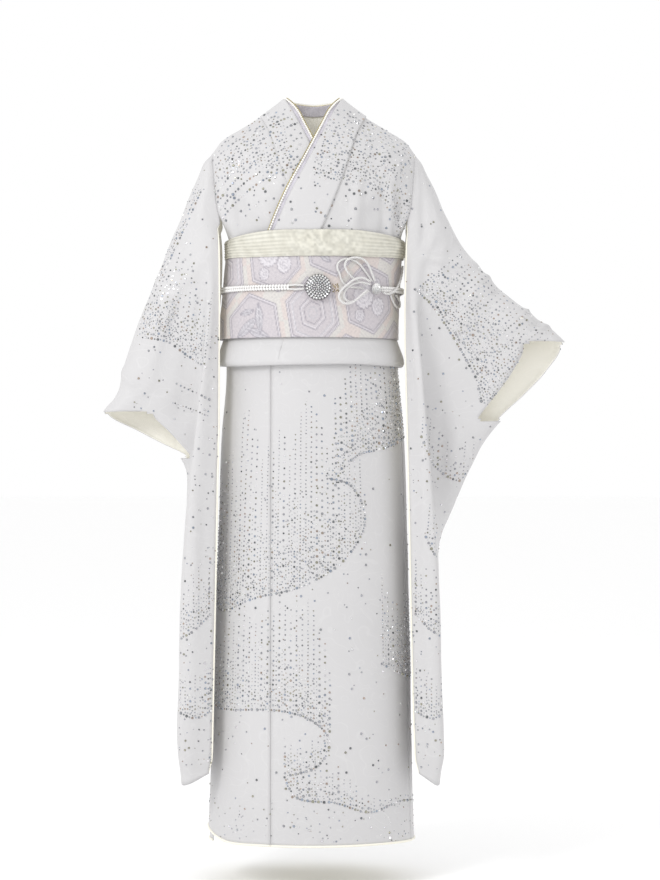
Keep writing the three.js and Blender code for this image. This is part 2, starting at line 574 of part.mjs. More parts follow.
// Raises a grid along its folds.
function withFolds(grid, folds = []) {
  const normals = gridNormals(grid);
  return grid.map((row, i) =>
    row.map((point, j) => {
      const rise = folds.reduce((sum, fold) => {
        const line = new THREE.Line3(vec(fold.x1, fold.y1, fold.z1), vec(fold.x2, fold.y2, fold.z2));
        const t = line.closestPointToPointParameter(point, true);
        const far = point.distanceTo(line.at(t, vec()));
        const fade = Math.sin(Math.PI * clamp(0.1 + 0.8 * t, 0, 1));
        return sum + fold.high * fade * Math.exp(-((far / fold.reach) ** 2));
      }, 0);
      return point.clone().addScaledVector(normals[i][j], rise);
    }),
  );
}

// ---- Skirt --------------------------------------------------------------------------------------------

const SKIRT_HEIGHTS = [0, 50, 185, 375, 560, 740, 866, 930, SKIRT_TOP];

// The hem's height at an angle: level at the back, a little raised in front, and lifted at the wrap's corner.
function hemHeight(angle) {
  const front = 5 * smoothstep(Math.cos(degrees(angle)), 0, 1);
  return front + 24 * smoothstep(-angle, 45, 92) * (angle > -130 ? 1 : 0);
}

// A skirt panel between two edges, each an angle at a height. `depth` is how far in it lies at an angle.
function skirtPanel(from, to, columns, depth, lift = 0) {
  const grid = SKIRT_HEIGHTS.map((height) =>
    steps(columns).map((u) => {
      const angle = lerp(from(height), to(height), u);
      const raise = (hemHeight(angle) + lift) * (1 - height / SKIRT_TOP) ** 6;
      return bodyPoint(height + raise, angle, -depth(angle));
    }),
  );
  return clothWall(grid);
}

const seamAngle = (z, gap) => bodyAngle(z, FRONT_SEAM_X + gap / 2);
const sideGap = THREE.MathUtils.radToDeg(SEAM / 2 / 150);
const constant = (angle) => () => angle;

// The right half of the back comes out from under the wrap's edge, and the under wrap's edge lies inside the
// left half of the back.
const rightBackDepth = (angle) => UNDER_DEPTH * smoothstep(angle, 220, 264);
const leftBackDepth = () => 0;

const skirt = {
  left_front: skirtPanel((z) => seamAngle(z, SEAM), constant(SIDE_SEAM - sideGap), 12, () => 0),
  left_overlap: skirtPanel(constant(WRAP_END), (z) => seamAngle(z, -SEAM), 7, () => 0),
  right_front: skirtPanel(
    constant(-SIDE_SEAM + sideGap),
    (z) => -seamAngle(z, SEAM),
    10,
    () => UNDER_DEPTH,
    8,
  ),
  right_overlap: skirtPanel((z) => -seamAngle(z, -SEAM), constant(-WRAP_END), 6, () => UNDER_DEPTH, 8),
  left_back: skirtPanel(constant(SIDE_SEAM + sideGap), constant(180 - sideGap), 10, leftBackDepth),
  right_back: skirtPanel(constant(180 + sideGap), constant(360 - SIDE_SEAM - sideGap), 10, rightBackDepth),
};

// ---- Tuck under the sash ------------------------------------------------------------------------------

// The outer face runs down to the fold, and the inner face a little way up again.
const TUCK_PATH = [
  { z: 1026, out: 0 },
  { z: 923, out: 0 },
  { z: 905, out: 0 },
  { z: 887, out: 0 },
  { z: 876, out: -0.6 },
  { z: 871, out: -3.6 },
  { z: 875, out: -7 },
  { z: 892, out: -8 },
];

function tuckPanel(from, to, columns) {
  const grid = TUCK_PATH.map(({ z, out }) =>
    steps(columns).map((u) => {
      const angle = lerp(from, to, u);
      const ring = tableAt(TUCK, z);
      const wave = 1.2 * Math.sin(degrees(3 * angle + 40)) * smoothstep(-z, -905, -880);
      return ringPoint({ ...ring, z: z + wave }, angle, out);
    }),
  );
  return clothWall(grid.reverse());
}

const tuck = {
  left_tuck: tuckPanel(-92, 180 - sideGap, 26),
  right_tuck: tuckPanel(180 + sideGap, 360 - 92 - 3 * sideGap, 9),
};

// ---- Chest --------------------------------------------------------------------------------------------

const BODICE_ROWS = 11;
const BODICE_COLUMNS = 9;
const WAIST_X = tableAt(BODY, WAIST).x;

// Where the chest's front lies at a place in a front view, and how much a point keeps of its own depth instead.
function chestFront(x, z) {
  const row = tableAt(CHEST, z);
  return row.y - row.deep * Math.sqrt(1 - Math.min(Math.abs(x) / row.wide, 0.999) ** 2);
}
const ownDepth = (s, r) => Math.max(smoothstep(r, 0.55, 0.9), smoothstep(s, 0.68, 1));

// Half of the chest's front or back, between its inner edge, the armhole, the waist and the shoulder.
function chestHalf(edge, armhole, ringAngle, side, sunk) {
  const isFront = edge === FRONT_EDGE;
  const atWaist = (s) => bodyPoint(WAIST, ringAngle(s)).sub(vec(WAIST_X, 0, 0));
  const inner = curveThrough(edge);
  const foot = atWaist(1);
  const outer = curveThrough([{ x: foot.x, y: foot.y, z: foot.z }, ...armhole]);
  const top = curveThrough(SHOULDER);
  const waist = (s) => (s === 0 ? inner.getPoint(0) : atWaist(s));
  return steps(BODICE_ROWS).map((r) =>
    steps(BODICE_COLUMNS).map((s) => {
      const [left, right] = [inner.getPoint(r), outer.getPoint(r)];
      const [low, high] = [waist(s), top.getPoint(s)];
      const corners = inner
        .getPoint(0)
        .multiplyScalar((1 - s) * (1 - r))
        .addScaledVector(foot, s * (1 - r))
        .addScaledVector(top.getPoint(0), (1 - s) * r)
        .addScaledVector(top.getPoint(1), s * r);
      const p = left
        .multiplyScalar(1 - s)
        .addScaledVector(right, s)
        .addScaledVector(low, 1 - r)
        .addScaledVector(high, r)
        .sub(corners);
      p.y += Math.sign(p.y) * 7 * Math.sin(Math.PI * s) * Math.sin(Math.PI * r);
      if (isFront) p.y = lerp(chestFront(p.x, p.z), p.y, ownDepth(s, r));
      else p.x = Math.max(p.x, 0.4);
      p.y += sunk * (1 - smoothstep(s, 0.6, 0.95)) * (1 - smoothstep(r, 0.6, 0.98));
      p.x = side * p.x + WAIST_X * (1 - r);
      return p;
    }),
  );
}

// One body panel: up the front from under the sash, over the shoulder and down the back.
function bodyPanel(name, side) {
  const sunk = side < 0 ? UNDER_CHEST : 0;
  const frontIn = bodyAngle(WAIST, FRONT_EDGE[0].x);
  const front = chestHalf(FRONT_EDGE, ARMHOLE_FRONT, (s) => lerp(frontIn, 79, s), side, sunk);
  const back = chestHalf(BACK_EDGE, ARMHOLE_BACK, (s) => lerp(180 - sideGap, 101, s), side, 0);
  const below = (rows, fraction) =>
    rows[0].map((p, j) => {
      const s = j / BODICE_COLUMNS;
      const inwards = 3.6 + side * 1.2 * s;
      return vec(p.x - fraction * inwards, p.y, lerp(WAIST, BODICE_BOTTOM, fraction));
    });
  const grid = [
    below(front, 1),
    below(front, 0.5),
    ...front,
    ...back.slice(0, -1).reverse(),
    below(back, 0.5),
    below(back, 1),
  ];
  const outer = side > 0 ? withFolds(grid, FOLDS[name]) : backwards(withFolds(backwards(grid), FOLDS[name]));
  const normals = side > 0 ? gridNormals(outer) : backwards(gridNormals(backwards(outer)));
  return { grid: outer, normals, frontRows: 2 + BODICE_ROWS + 1 };
}

const leftBody = bodyPanel("left_body", 1);
const rightBody = bodyPanel("right_body", -1);

// ---- Collar -------------------------------------------------------------------------------------------

// A point at a distance along a row from its first point; a negative distance carries on before it in the
// same bend.
function alongRow(row, distance) {
  if (distance <= 0) {
    const [a, b, c] = row;
    const [ab, bc] = [a.distanceTo(b), b.distanceTo(c)];
    const slope = b.clone().sub(a).divideScalar(ab);
    const bend = c.clone().sub(b).divideScalar(bc).sub(slope).divideScalar(ab + bc);
    return a.clone().addScaledVector(slope, distance).addScaledVector(bend, distance * (distance - ab));
  }
  let left = distance;
  for (let j = 1; j < row.length; j++) {
    const span = row[j].distanceTo(row[j - 1]);
    if (left <= span) return row[j - 1].clone().lerp(row[j], left / span);
    left -= span;
  }
  return row[row.length - 1].clone();
}

// A point of a band on one front: its distance in from the panel's edge, in one of the panel's rows, and its
// lift off the panel. Outside the edge the band lies on the chest.
function frontBandPoint(body, i, distance, lift) {
  const row = body.grid[i + 2];
  const r = i / BODICE_ROWS;
  const onChest = (p) => chestFront(p.x - WAIST_X * (1 - r), p.z);
  const near = row.findIndex((p) => p.distanceTo(row[0]) >= distance);
  const p = alongRow(row, distance);
  if (distance < 0) p.y = lerp(onChest(p) + row[0].y - onChest(row[0]), p.y, ownDepth(0, r));
  return p.addScaledVector(body.normals[i + 2][near], lift);
}

const bandInset = (i) => -lerp(34, 26, i / BODICE_ROWS);
const bandWidth = (i) => lerp(COLLAR_WIDTH_LOW, COLLAR_WIDTH, smoothstep(i / BODICE_ROWS, 0, 0.9));

// The collar's rows on one front, from the sash up to the side of the neck.
function frontBand(body, across) {
  return Array.from({ length: BODICE_ROWS + 1 }, (_, i) =>
    steps(across, bandInset(i), bandInset(i) + bandWidth(i)).map((distance) =>
      frontBandPoint(body, i, distance, COLLAR_LIFT),
    ),
  );
}

// The collar's rows behind the neck, from the standing top edge down over the edge of the back.
function backBand(body, side, across) {
  const top = curveThrough(NECK_TOP, side);
  const rows = body.grid.slice(body.frontRows, body.frontRows + 5);
  return rows.map((row, i) => {
    const lift = lerp(COLLAR_LIFT, COLLAR_LIFT_BACK, (i + 1) / rows.length);
    const seam = alongRow(row, 12).addScaledVector(body.normals[body.frontRows + i][0], lift);
    const above = top.getPoint(0.08 + (0.92 * (i + 1)) / rows.length);
    return steps(across).map((w) => above.clone().lerp(seam, w));
  });
}

// The whole band, from the right front's lower end round the neck to the left front's.
const COLLAR_COLUMNS = 4;
const sideBand = (body, side) => [
  ...frontBand(body, COLLAR_COLUMNS),
  ...backBand(body, side, COLLAR_COLUMNS),
];
const [rightBand, leftBand] = [sideBand(rightBody, -1), sideBand(leftBody, 1)];
const centreRow = rightBand[rightBand.length - 1].map((p, j) => {
  const q = leftBand[leftBand.length - 1][j];
  return vec(0, (p.y + q.y) / 2, (p.z + q.z) / 2);
});
const collarGrid = [...rightBand.slice(0, -1), centreRow, ...leftBand.slice(0, -1).reverse()];

// The edging lies against the collar's inner face. It shows along the fronts and stays hidden behind the neck.
const collarNormals = backwards(gridNormals(backwards(collarGrid)));
const edgingGrid = collarGrid.map((band, k) => {
  const i = Math.min(k, collarGrid.length - 1 - k);
  const body = i === k ? rightBody : leftBody;
  const below = CLOTH + 2 * LAYER;
  const row = band.map((p, j) => p.clone().addScaledVector(collarNormals[k][j], -below));
  const start = lerp(-EDGING_SHOWS, 3, smoothstep(i, BODICE_ROWS - 2, BODICE_ROWS + 2));
  return steps(2, start, start + EDGING_WIDTH).map((distance) =>
    i < BODICE_ROWS
      ? frontBandPoint(body, i, bandInset(i) + distance, COLLAR_LIFT - below)
      : alongRow(row, distance),
  );
});

// ---- Sleeves ------------------------------------------------------------------------------------------

const SLEEVE_COLUMNS = 24;

// One level section of a sleeve, from its front inner edge to its back inner edge.
function sleeveSection(row, side) {
  const turn = degrees(row.turn);
  const out = new THREE.Vector2(Math.cos(turn), Math.sin(turn));
  const back = new THREE.Vector2(-Math.sin(turn), Math.cos(turn));
  const tip = new THREE.Vector2(row.tx, row.ty);
  // Where a section lies across the body, its round outer end stays outside the cloth before and behind it.
  const room = row.turn < 45 ? row.tx - Math.max(row.cx, row.ex) - 2 : row.r;
  const bend = Math.min(row.r, (row.tx - row.ax) * 0.8 + 2, room);
  const middle = tip.clone().addScaledVector(out, -bend);
  const end = (a, b) => middle.clone().addScaledVector(out, a * bend).addScaledVector(back, b * row.r);
  const nodes = [
    new THREE.Vector2(row.ax, row.ay),
    new THREE.Vector2(row.fx, row.fy),
    new THREE.Vector2(row.cx, row.cy),
    end(0, -1),
    end(0.71, -0.71),
    end(1, 0),
    end(0.71, 0.71),
    end(0, 1),
    new THREE.Vector2(row.ex, row.ey),
    new THREE.Vector2(row.bx, row.by),
  ];
  return new THREE.CatmullRomCurve3(
    nodes.map((p) => vec(side * p.x, p.y, row.z)),
    false,
    "centripetal",
  );
}

// Where the columns fall along a section: an even share for each stretch between two nodes.
const SECTION_SHARES = [3, 4, 4, 1.5, 1.5, 1.5, 1.5, 5, 4];

function sectionParameter(s) {
  const total = SECTION_SHARES.reduce((a, b) => a + b);
  let left = s * total;
  for (let k = 0; k < SECTION_SHARES.length; k++) {
    if (left <= SECTION_SHARES[k] || k === SECTION_SHARES.length - 1)
      return (k + Math.min(left / SECTION_SHARES[k], 1)) / SECTION_SHARES.length;
    left -= SECTION_SHARES[k];
  }
  return 1;
}

function sleeve(name, table, cuff, side) {
  const heights = table.flatMap((row, i) => {
    const next = table[i + 1];
    if (!next) return [row.z];
    const parts = row.z - next.z > 95 ? 2 : 1;
    return steps(parts, row.z, next.z).slice(0, -1);
  });
  const grid = heights.map((z) => {
    const curve = sleeveSection(tableAt(table, z), side);
    return steps(SLEEVE_COLUMNS).map((s) => curve.getPoint(sectionParameter(s)));
  });
  const last = grid[grid.length - 1];
  const closing = last.map((p, j) => {
    const s = j / SLEEVE_COLUMNS;
    return vec(p.x, p.y, p.z - tableAt(SLEEVE_DIP, s).dip);
  });
  grid[grid.length - 1] = closing;
  const outer = withFolds(side > 0 ? backwards(grid) : grid, FOLDS[name]);
  const middle = SLEEVE_COLUMNS / 2;
  const inCuff = (i) => heights[i] <= cuff.top + 5 && heights[i + 1] >= cuff.bottom;
  return clothWall(outer, { open: (i, j) => inCuff(i) && Math.abs(j + 0.5 - middle) < 1.6 });
}

// ---- Sash, scarf and bow ------------------------------------------------------------------------------

const around = (count) => steps(count).slice(0, -1);

const sashBand = clothWall(
  [921, 940, 995, 1050, 1090].map((z) => around(44).map((u) => sashPoint(z, 360 * u))),
  { thickness: SASH, around: true },
);

const scarfBand = clothWall(
  [...SCARF].reverse().map(({ front, side, frontOut, sideOut }, i) =>
    around(40).map((u) => {
      const angle = 360 * u - 180;
      const aside = smoothstep(Math.abs(angle), 20, 90);
      const crumple = i > 0 && i < SCARF.length - 1 ? 0.8 * Math.sin(degrees(angle * 5 + i * 70)) : 0;
      return sashPoint(lerp(front, side, aside), angle, lerp(frontOut, sideOut, aside) + crumple);
    }),
  ),
  { thickness: CLOTH, around: true },
);

// A sheet behind the back that follows a path of height and distance out from the sash.
function backSheet(path, count, halfWidth, columns) {
  const curve = new THREE.CatmullRomCurve3(path.map((p) => vec(0, p.out, p.z)), false, "centripetal");
  const behind = sashPoint(1000, 180).y;
  const grid = steps(count).map((t) => {
    const p = curve.getPointAt(t);
    return steps(columns, -1, 1).map((w) => vec(w * halfWidth, behind + p.y - DRUM_ROUND * w ** 4, p.z));
  });
  return clothWall(backwards(grid), { thickness: SASH });
}

const drum = backSheet([...DRUM].reverse(), 22, DRUM_HALF_WIDTH, 8);
const drumTail = backSheet([...TAIL].reverse(), 4, TAIL_HALF_WIDTH, 8);

// ---- Sash cord, knot and brooch -----------------------------------------------------------------------

const outOfSash = (p) => {
  const ring = tableAt(SASH_RINGS, p.z);
  return vec((p.x - ring.x) / ring.wide ** 2, (p.y - ring.y) / ring.deep ** 2, 0).normalize();
};

// A point on the sash's front by its place in a front view, lifted off the sash.
function onSash({ x, z, lift }) {
  const ring = tableAt(SASH_RINGS, z);
  const angle = Math.asin(clamp((x - ring.x) / (ring.wide + lift), -1, 1));
  return ringPoint(ring, THREE.MathUtils.radToDeg(angle), lift);
}

const smoothPath = (points) => new THREE.CatmullRomCurve3(points, false, "centripetal");
const braidLift = CORD_THICK / 2 + 0.9;
const behindDrum = sashPoint(1000, 180).y + DRUM[6].out;

// The braid on one side, from the front round to the middle of the drum: along the sash, round the drum's edge.
function braidSide(side, first, height) {
  return [
    ...first.map((x) => onSash({ x, z: height, lift: braidLift })),
    ...[58, 70, 80, 90, 100].map((angle) => sashPoint(height, side * angle, braidLift)),
    ...[
      { x: 158, out: -52, drop: 1 },
      { x: 154.5, out: -30, drop: 2 },
      { x: 153.4, out: -17, drop: 3 },
      { x: 150.6, out: -10.4, drop: 3.5 },
      { x: 144, out: -7.6, drop: 4 },
      { x: 128, out: -3, drop: 4.5 },
      { x: 100, out: 1.8, drop: 5 },
      { x: 50, out: 4.4, drop: 5 },
    ].map(({ x, out, drop }) => vec(side * x, behindDrum + out, height - drop)),
  ];
}
const braid = cord(
  smoothPath([
    ...braidSide(-1, [-44.5, -80, -112], CORD_HEIGHT),
    ...braidSide(1, [126, 132], CORD_HEIGHT - 1).reverse(),
  ]),
  { wide: CORD_WIDE, thick: CORD_THICK, count: 76, sides: 6, away: outOfSash },
);

const strand = (points) =>
  cord(smoothPath(points.map(onSash)), {
    wide: STRAND,
    thick: STRAND,
    count: Math.max(4, 2 * points.length - 4),
    sides: 6,
    away: outOfSash,
  });

const knot = new THREE.SphereGeometry(1, 12, 8);
const brooch = new THREE.LatheGeometry(
  [
    { radius: 0, height: 0 },
    { radius: 20, height: 0 },
    { radius: BROOCH_RADIUS, height: 3 },
    { radius: 21.5, height: 7 },
    { radius: 14, height: 11 },
    { radius: 0, height: 13 },
  ].map(({ radius, height }) => new THREE.Vector2(radius, height)),
  20,
);

// ---- Assembly -----------------------------------------------------------------------------------------

const colour = (r, g, b, roughness = 0.75, metalness = 0) =>
  new THREE.MeshStandardMaterial({ color: new THREE.Color(r, g, b), roughness, metalness });

const WHITE_SILK = colour(0.86, 0.86, 0.87, 0.6);
const EDGING_SILK = colour(0.76, 0.75, 0.79, 0.55);
const BROCADE = colour(0.74, 0.71, 0.74, 0.6);
const SCARF_SILK = colour(0.88, 0.85, 0.74, 0.8);
const BRAID = colour(0.9, 0.88, 0.86, 0.7);
const CRYSTAL = colour(0.75, 0.75, 0.78, 0.15, 0.6);

const garment = new THREE.Group();
garment.position.z = -HOLD_HEIGHT;

function addPiece(name, geometry, material, place = () => {}) {
  const mesh = new THREE.Mesh(geometry, material);
  mesh.name = name;
  place(mesh);
  garment.add(mesh);
}

addPiece("left_body", clothWall(leftBody.grid), WHITE_SILK);
addPiece("right_body", clothWall(backwards(rightBody.grid)), WHITE_SILK);
addPiece("collar", clothWall(backwards(collarGrid)), WHITE_SILK);
addPiece("collar_edging", clothWall(backwards(edgingGrid), { thickness: EDGING }), EDGING_SILK);
for (const [name, geometry] of Object.entries(skirt)) addPiece(name, geometry, WHITE_SILK);
for (const [name, geometry] of Object.entries(tuck)) addPiece(name, geometry, WHITE_SILK);
addPiece("left_sleeve", sleeve("left_sleeve", LEFT_SLEEVE, LEFT_CUFF, 1), WHITE_SILK);
addPiece("right_sleeve", sleeve("right_sleeve", RIGHT_SLEEVE, RIGHT_CUFF, -1), WHITE_SILK);
addPiece("sash", sashBand, BROCADE);
addPiece("sash_drum", drum, BROCADE);
addPiece("sash_tail", drumTail, BROCADE);
addPiece("scarf", scarfBand, SCARF_SILK);
addPiece("sash_cord", braid, BRAID);
for (const [name, points] of Object.entries(STRANDS)) addPiece(name, strand(points), BRAID);
addPiece("cord_knot", knot, BRAID, (mesh) => {
  const at = onSash({ x: KNOT.x, z: KNOT.z, lift: KNOT.deep + 0.5 });
  const out = outOfSash(at);
  mesh.position.copy(at);
  mesh.rotation.z = Math.atan2(out.x, -out.y);
  mesh.scale.set(KNOT.wide, KNOT.deep, KNOT.high);
});
addPiece("brooch", brooch, CRYSTAL, (mesh) => {
  mesh.position.copy(onSash({ x: BROOCH_X, z: CORD_HEIGHT, lift: 0.9 }));
  mesh.rotation.z = Math.PI;
});

export default garment;
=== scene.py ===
"""Looks for a long-sleeved formal kimono as worn: silk, crystals, pearls, brocade sash, scarf and cord.

Metres, in the row frame: x to the wearer's left, y to the back, z up from the neck point that holds it.
"""
import json
import math

import bmesh
import bpy
import numpy as np
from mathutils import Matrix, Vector
from mathutils.bvhtree import BVHTree

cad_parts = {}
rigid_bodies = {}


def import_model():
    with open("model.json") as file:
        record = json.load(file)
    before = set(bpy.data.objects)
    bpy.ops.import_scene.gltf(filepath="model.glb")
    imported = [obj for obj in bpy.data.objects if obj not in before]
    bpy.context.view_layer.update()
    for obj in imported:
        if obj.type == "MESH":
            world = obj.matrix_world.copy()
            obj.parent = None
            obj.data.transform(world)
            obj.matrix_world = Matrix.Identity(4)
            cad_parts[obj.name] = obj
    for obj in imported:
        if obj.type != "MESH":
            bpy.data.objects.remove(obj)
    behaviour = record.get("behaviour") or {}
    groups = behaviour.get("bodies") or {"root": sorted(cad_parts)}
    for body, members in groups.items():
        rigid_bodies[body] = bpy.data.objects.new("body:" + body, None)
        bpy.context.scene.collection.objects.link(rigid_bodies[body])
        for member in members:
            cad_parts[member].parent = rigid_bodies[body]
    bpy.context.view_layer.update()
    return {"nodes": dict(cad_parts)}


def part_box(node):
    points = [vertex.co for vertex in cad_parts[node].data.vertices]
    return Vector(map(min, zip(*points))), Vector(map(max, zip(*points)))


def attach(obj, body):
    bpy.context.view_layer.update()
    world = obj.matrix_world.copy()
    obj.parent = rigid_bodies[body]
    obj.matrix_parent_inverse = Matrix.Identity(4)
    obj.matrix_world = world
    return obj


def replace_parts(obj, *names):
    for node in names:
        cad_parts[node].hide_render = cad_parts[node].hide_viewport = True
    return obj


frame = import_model()

HEM = -1.335  # the hem's height in the row frame
MM = 0.001

# ---- Camera, light and floor -------------------------------------------------------------------------------

CAMERA_X = 0.031
CAMERA_Z = -0.599
CAMERA_DISTANCE = 4.5
LENS = 99.5
FLOOR_Z = HEM - 0.072


def add_camera():
    data = bpy.data.cameras.new("camera")
    data.sensor_fit = "VERTICAL"
    data.sensor_height = 36
    data.lens = LENS
    data.clip_end = 50
    camera = bpy.data.objects.new("camera", data)
    bpy.context.scene.collection.objects.link(camera)
    camera.location = (CAMERA_X, -CAMERA_DISTANCE, CAMERA_Z)
    camera.rotation_euler = (math.pi / 2, 0, 0)
    bpy.context.scene.camera = camera


def add_light(name, place, size, power):
    """A rectangular light aimed at the garment's middle."""
    data = bpy.data.lights.new(name, "AREA")
    data.shape = "RECTANGLE"
    data.size, data.size_y = size
    data.energy = power
    light = bpy.data.objects.new(name, data)
    bpy.context.scene.collection.objects.link(light)
    light.location = place
    light.rotation_euler = (MIDDLE - Vector(place)).to_track_quat("-Z", "Y").to_euler()


add_camera()
bpy.context.scene.view_settings.view_transform = "Standard"

world = bpy.data.worlds.new("studio")
bpy.context.scene.world = world
world.use_nodes = True
world.node_tree.nodes["Background"].inputs["Color"].default_value = (1.0, 1.0, 1.0, 1)
world.node_tree.nodes["Background"].inputs["Strength"].default_value = 1.0
MIDDLE = Vector((0, 0, -0.55))
add_light("key", (-2.4, -3.0, 1.6), (1.2, 1.4), 56)
add_light("fill", (3.0, -2.6, 0.4), (1.8, 2.2), 4)
add_light("rim", (0.6, 3.0, 1.6), (2.4, 1.6), 8)

# ---- Materials ---------------------------------------------------------------------------------------------

WAVE_LENGTH = 0.314  # of a wave texture at scale 1


class Nodes:
    """Short calls for building a node material."""

    def __init__(self, name, colour, roughness=0.6, metallic=0.0):
        self.material = bpy.data.materials.new(name)
        self.material.use_nodes = True
        self.tree = self.material.node_tree
        self.shader = self.tree.nodes["Principled BSDF"]
        self.shader.inputs["Base Color"].default_value = (*colour, 1)
        self.shader.inputs["Roughness"].default_value = roughness
        self.shader.inputs["Metallic"].default_value = metallic

    def add(self, kind, **settings):
        node = self.tree.nodes.new("ShaderNode" + kind)
        for key, value in settings.items():
            if key in node.inputs:
                node.inputs[key].default_value = value
            else:
                setattr(node, key, value)
        return node

    def link(self, start, end):
        self.tree.links.new(start, end)

    def uv(self, turn=0.0):
        where = self.add("UVMap", uv_map="cloth")
        place = self.add("Mapping")
        place.inputs["Rotation"].default_value = (0, 0, turn)
        self.link(where.outputs["UV"], place.inputs["Vector"])
        return place.outputs["Vector"]

    def solid(self):
        """Places in the object itself, for pieces without a cloth grid."""
        return self.add("TexCoord").outputs["Object"]

    def tint(self):
        """The colour that the piece's points carry: the crystals' and the brocade's own colours, and painted
        shade on the braid, cords and scarf.
        """
        return self.add("VertexColor", layer_name="tint").outputs["Color"]

    def noise(self, vector, scale, detail):
        node = self.add("TexNoise", Scale=scale, Detail=detail)
        self.link(vector, node.inputs["Vector"])
        return node

    def mix(self, first, second, share, blend="MIX"):
        """Two colours blended by a share; each of the three is a socket or a constant."""
        node = self.add("MixRGB", blend_type=blend)
        for key, value in (("Fac", share), ("Color1", first), ("Color2", second)):
            if isinstance(value, bpy.types.NodeSocket):
                self.link(value, node.inputs[key])
            else:
                node.inputs[key].default_value = value
        return node.outputs["Color"]

    def math(self, operation, a, b):
        node = self.add("Math", operation=operation)
        for socket, value in zip(node.inputs, (a, b)):
            if isinstance(value, (int, float)):
                socket.default_value = value
            else:
                self.link(value, socket)
        return node.outputs[0]

    def ramp(self, value, stops):
        node = self.add("ValToRGB")
        while len(node.color_ramp.elements) < len(stops):
            node.color_ramp.elements.new(0.5)
        for element, (place, colour) in zip(node.color_ramp.elements, stops):
            element.position = place
            element.color = (*colour, 1) if len(colour) == 3 else colour
        self.link(value, node.inputs["Fac"])
        return node.outputs["Color"]

    def weave(self, pitch, vector=None):
        """The threads of a plain weave, from 0 to 1, at the given pitch in metres."""
        vector = vector or self.uv()
        scale = WAVE_LENGTH / pitch * 0.5
        waves = [self.add("TexWave", wave_type="BANDS", bands_direction=way, Scale=scale) for way in "XY"]
        for wave in waves:
            self.link(vector, wave.inputs["Vector"])
        return self.math("MULTIPLY", waves[0].outputs["Fac"], waves[1].outputs["Fac"])

    def bump(self, height, distance, strength=1.0, before=None):
        node = self.add("Bump")
        node.inputs["Strength"].default_value = strength
        node.inputs["Distance"].default_value = distance
        self.link(height, node.inputs["Height"])
        if before is not None:
            self.link(before, node.inputs["Normal"])
        self.link(node.outputs["Normal"], self.shader.inputs["Normal"])
        return node.outputs["Normal"]


def silk(name, dark, light, damask=0.5, glow=0.0):
    """Satin-faced silk with a faint woven damask of scrolling leaves, a fine weave and a soft sheen."""
    m = Nodes(name, light, 0.52)
    bend = m.noise(m.uv(), 9.0, 2.0)
    leaf = m.add("TexVoronoi", feature="SMOOTH_F1", Scale=26.0, Smoothness=0.35)
    m.link(m.mix(m.uv(), bend.outputs["Color"], 0.12, "ADD"), leaf.inputs["Vector"])
    bands = m.math("PINGPONG", m.math("MULTIPLY", leaf.outputs["Distance"], 3.4), 0.5)
    figure = m.ramp(bands, [(0.42, (0, 0, 0)), (0.55, (1, 1, 1))])
    cloud = m.math("MULTIPLY", m.noise(m.uv(), 5.0, 3.0).outputs["Fac"], 1 - damask)
    share = m.math("ADD", m.math("MULTIPLY", figure, damask), cloud)
    tone = m.mix((*dark, 1), (*light, 1), share)
    m.link(tone, m.shader.inputs["Base Color"])
    if glow:
        m.link(tone, m.shader.inputs["Emission Color"])
        m.shader.inputs["Emission Strength"].default_value = glow
    m.link(m.math("SUBTRACT", 0.62, m.math("MULTIPLY", figure, 0.14)), m.shader.inputs["Roughness"])
    m.shader.inputs["Sheen Weight"].default_value = 0.12
    m.shader.inputs["Sheen Roughness"].default_value = 0.4
    weave = m.bump(m.weave(0.0009), 0.00015, 0.35)
    m.bump(figure, 0.00025, 0.35, weave)
    return m.material


SILK = silk("white_silk", (0.573, 0.566, 0.572), (0.65, 0.643, 0.648))
# A little glow stands for the light that comes through the silk to its lining.
LINING = silk("cream_lining", (0.8, 0.78, 0.71), (0.86, 0.845, 0.785), 0.3, glow=0.1)

# ---- Grids of the CAD walls --------------------------------------------------------------------------------

CLOTH = 1.8 * MM
EDGING = 1.2 * MM
SASH = 2.8 * MM


def outer_faces(name, thickness):
    """The triangles of a wall's outer face: (points, triangles). The wall's rim joins its two faces by edges
    as long as it is thick, and the outer face is the larger one. The order is the same in each run."""
    bm = bmesh.new()
    bm.from_mesh(frame["nodes"][name].data)
    bmesh.ops.remove_doubles(bm, verts=bm.verts, dist=1e-5)
    bm.verts.index_update()
    bm.faces.index_update()
    points = np.array([v.co for v in bm.verts])
    rim = {f for e in bm.edges if abs(e.calc_length() - thickness) < 4e-6 for f in e.link_faces}
    left = {f for f in bm.faces if f not in rim}
    groups = []
    while left:
        stack = [left.pop()]
        group = list(stack)
        while stack:
            for e in stack.pop().edges:
                for f in e.link_faces:
                    if f in left:
                        left.remove(f)
                        stack.append(f)
                        group.append(f)
        groups.append(group)
    best = max(groups, key=lambda g: sum(f.calc_area() for f in g))
    best.sort(key=lambda face: face.index)
    triangles = np.array([[v.index for v in f.verts] for f in best])
    bm.free()
    return points, triangles


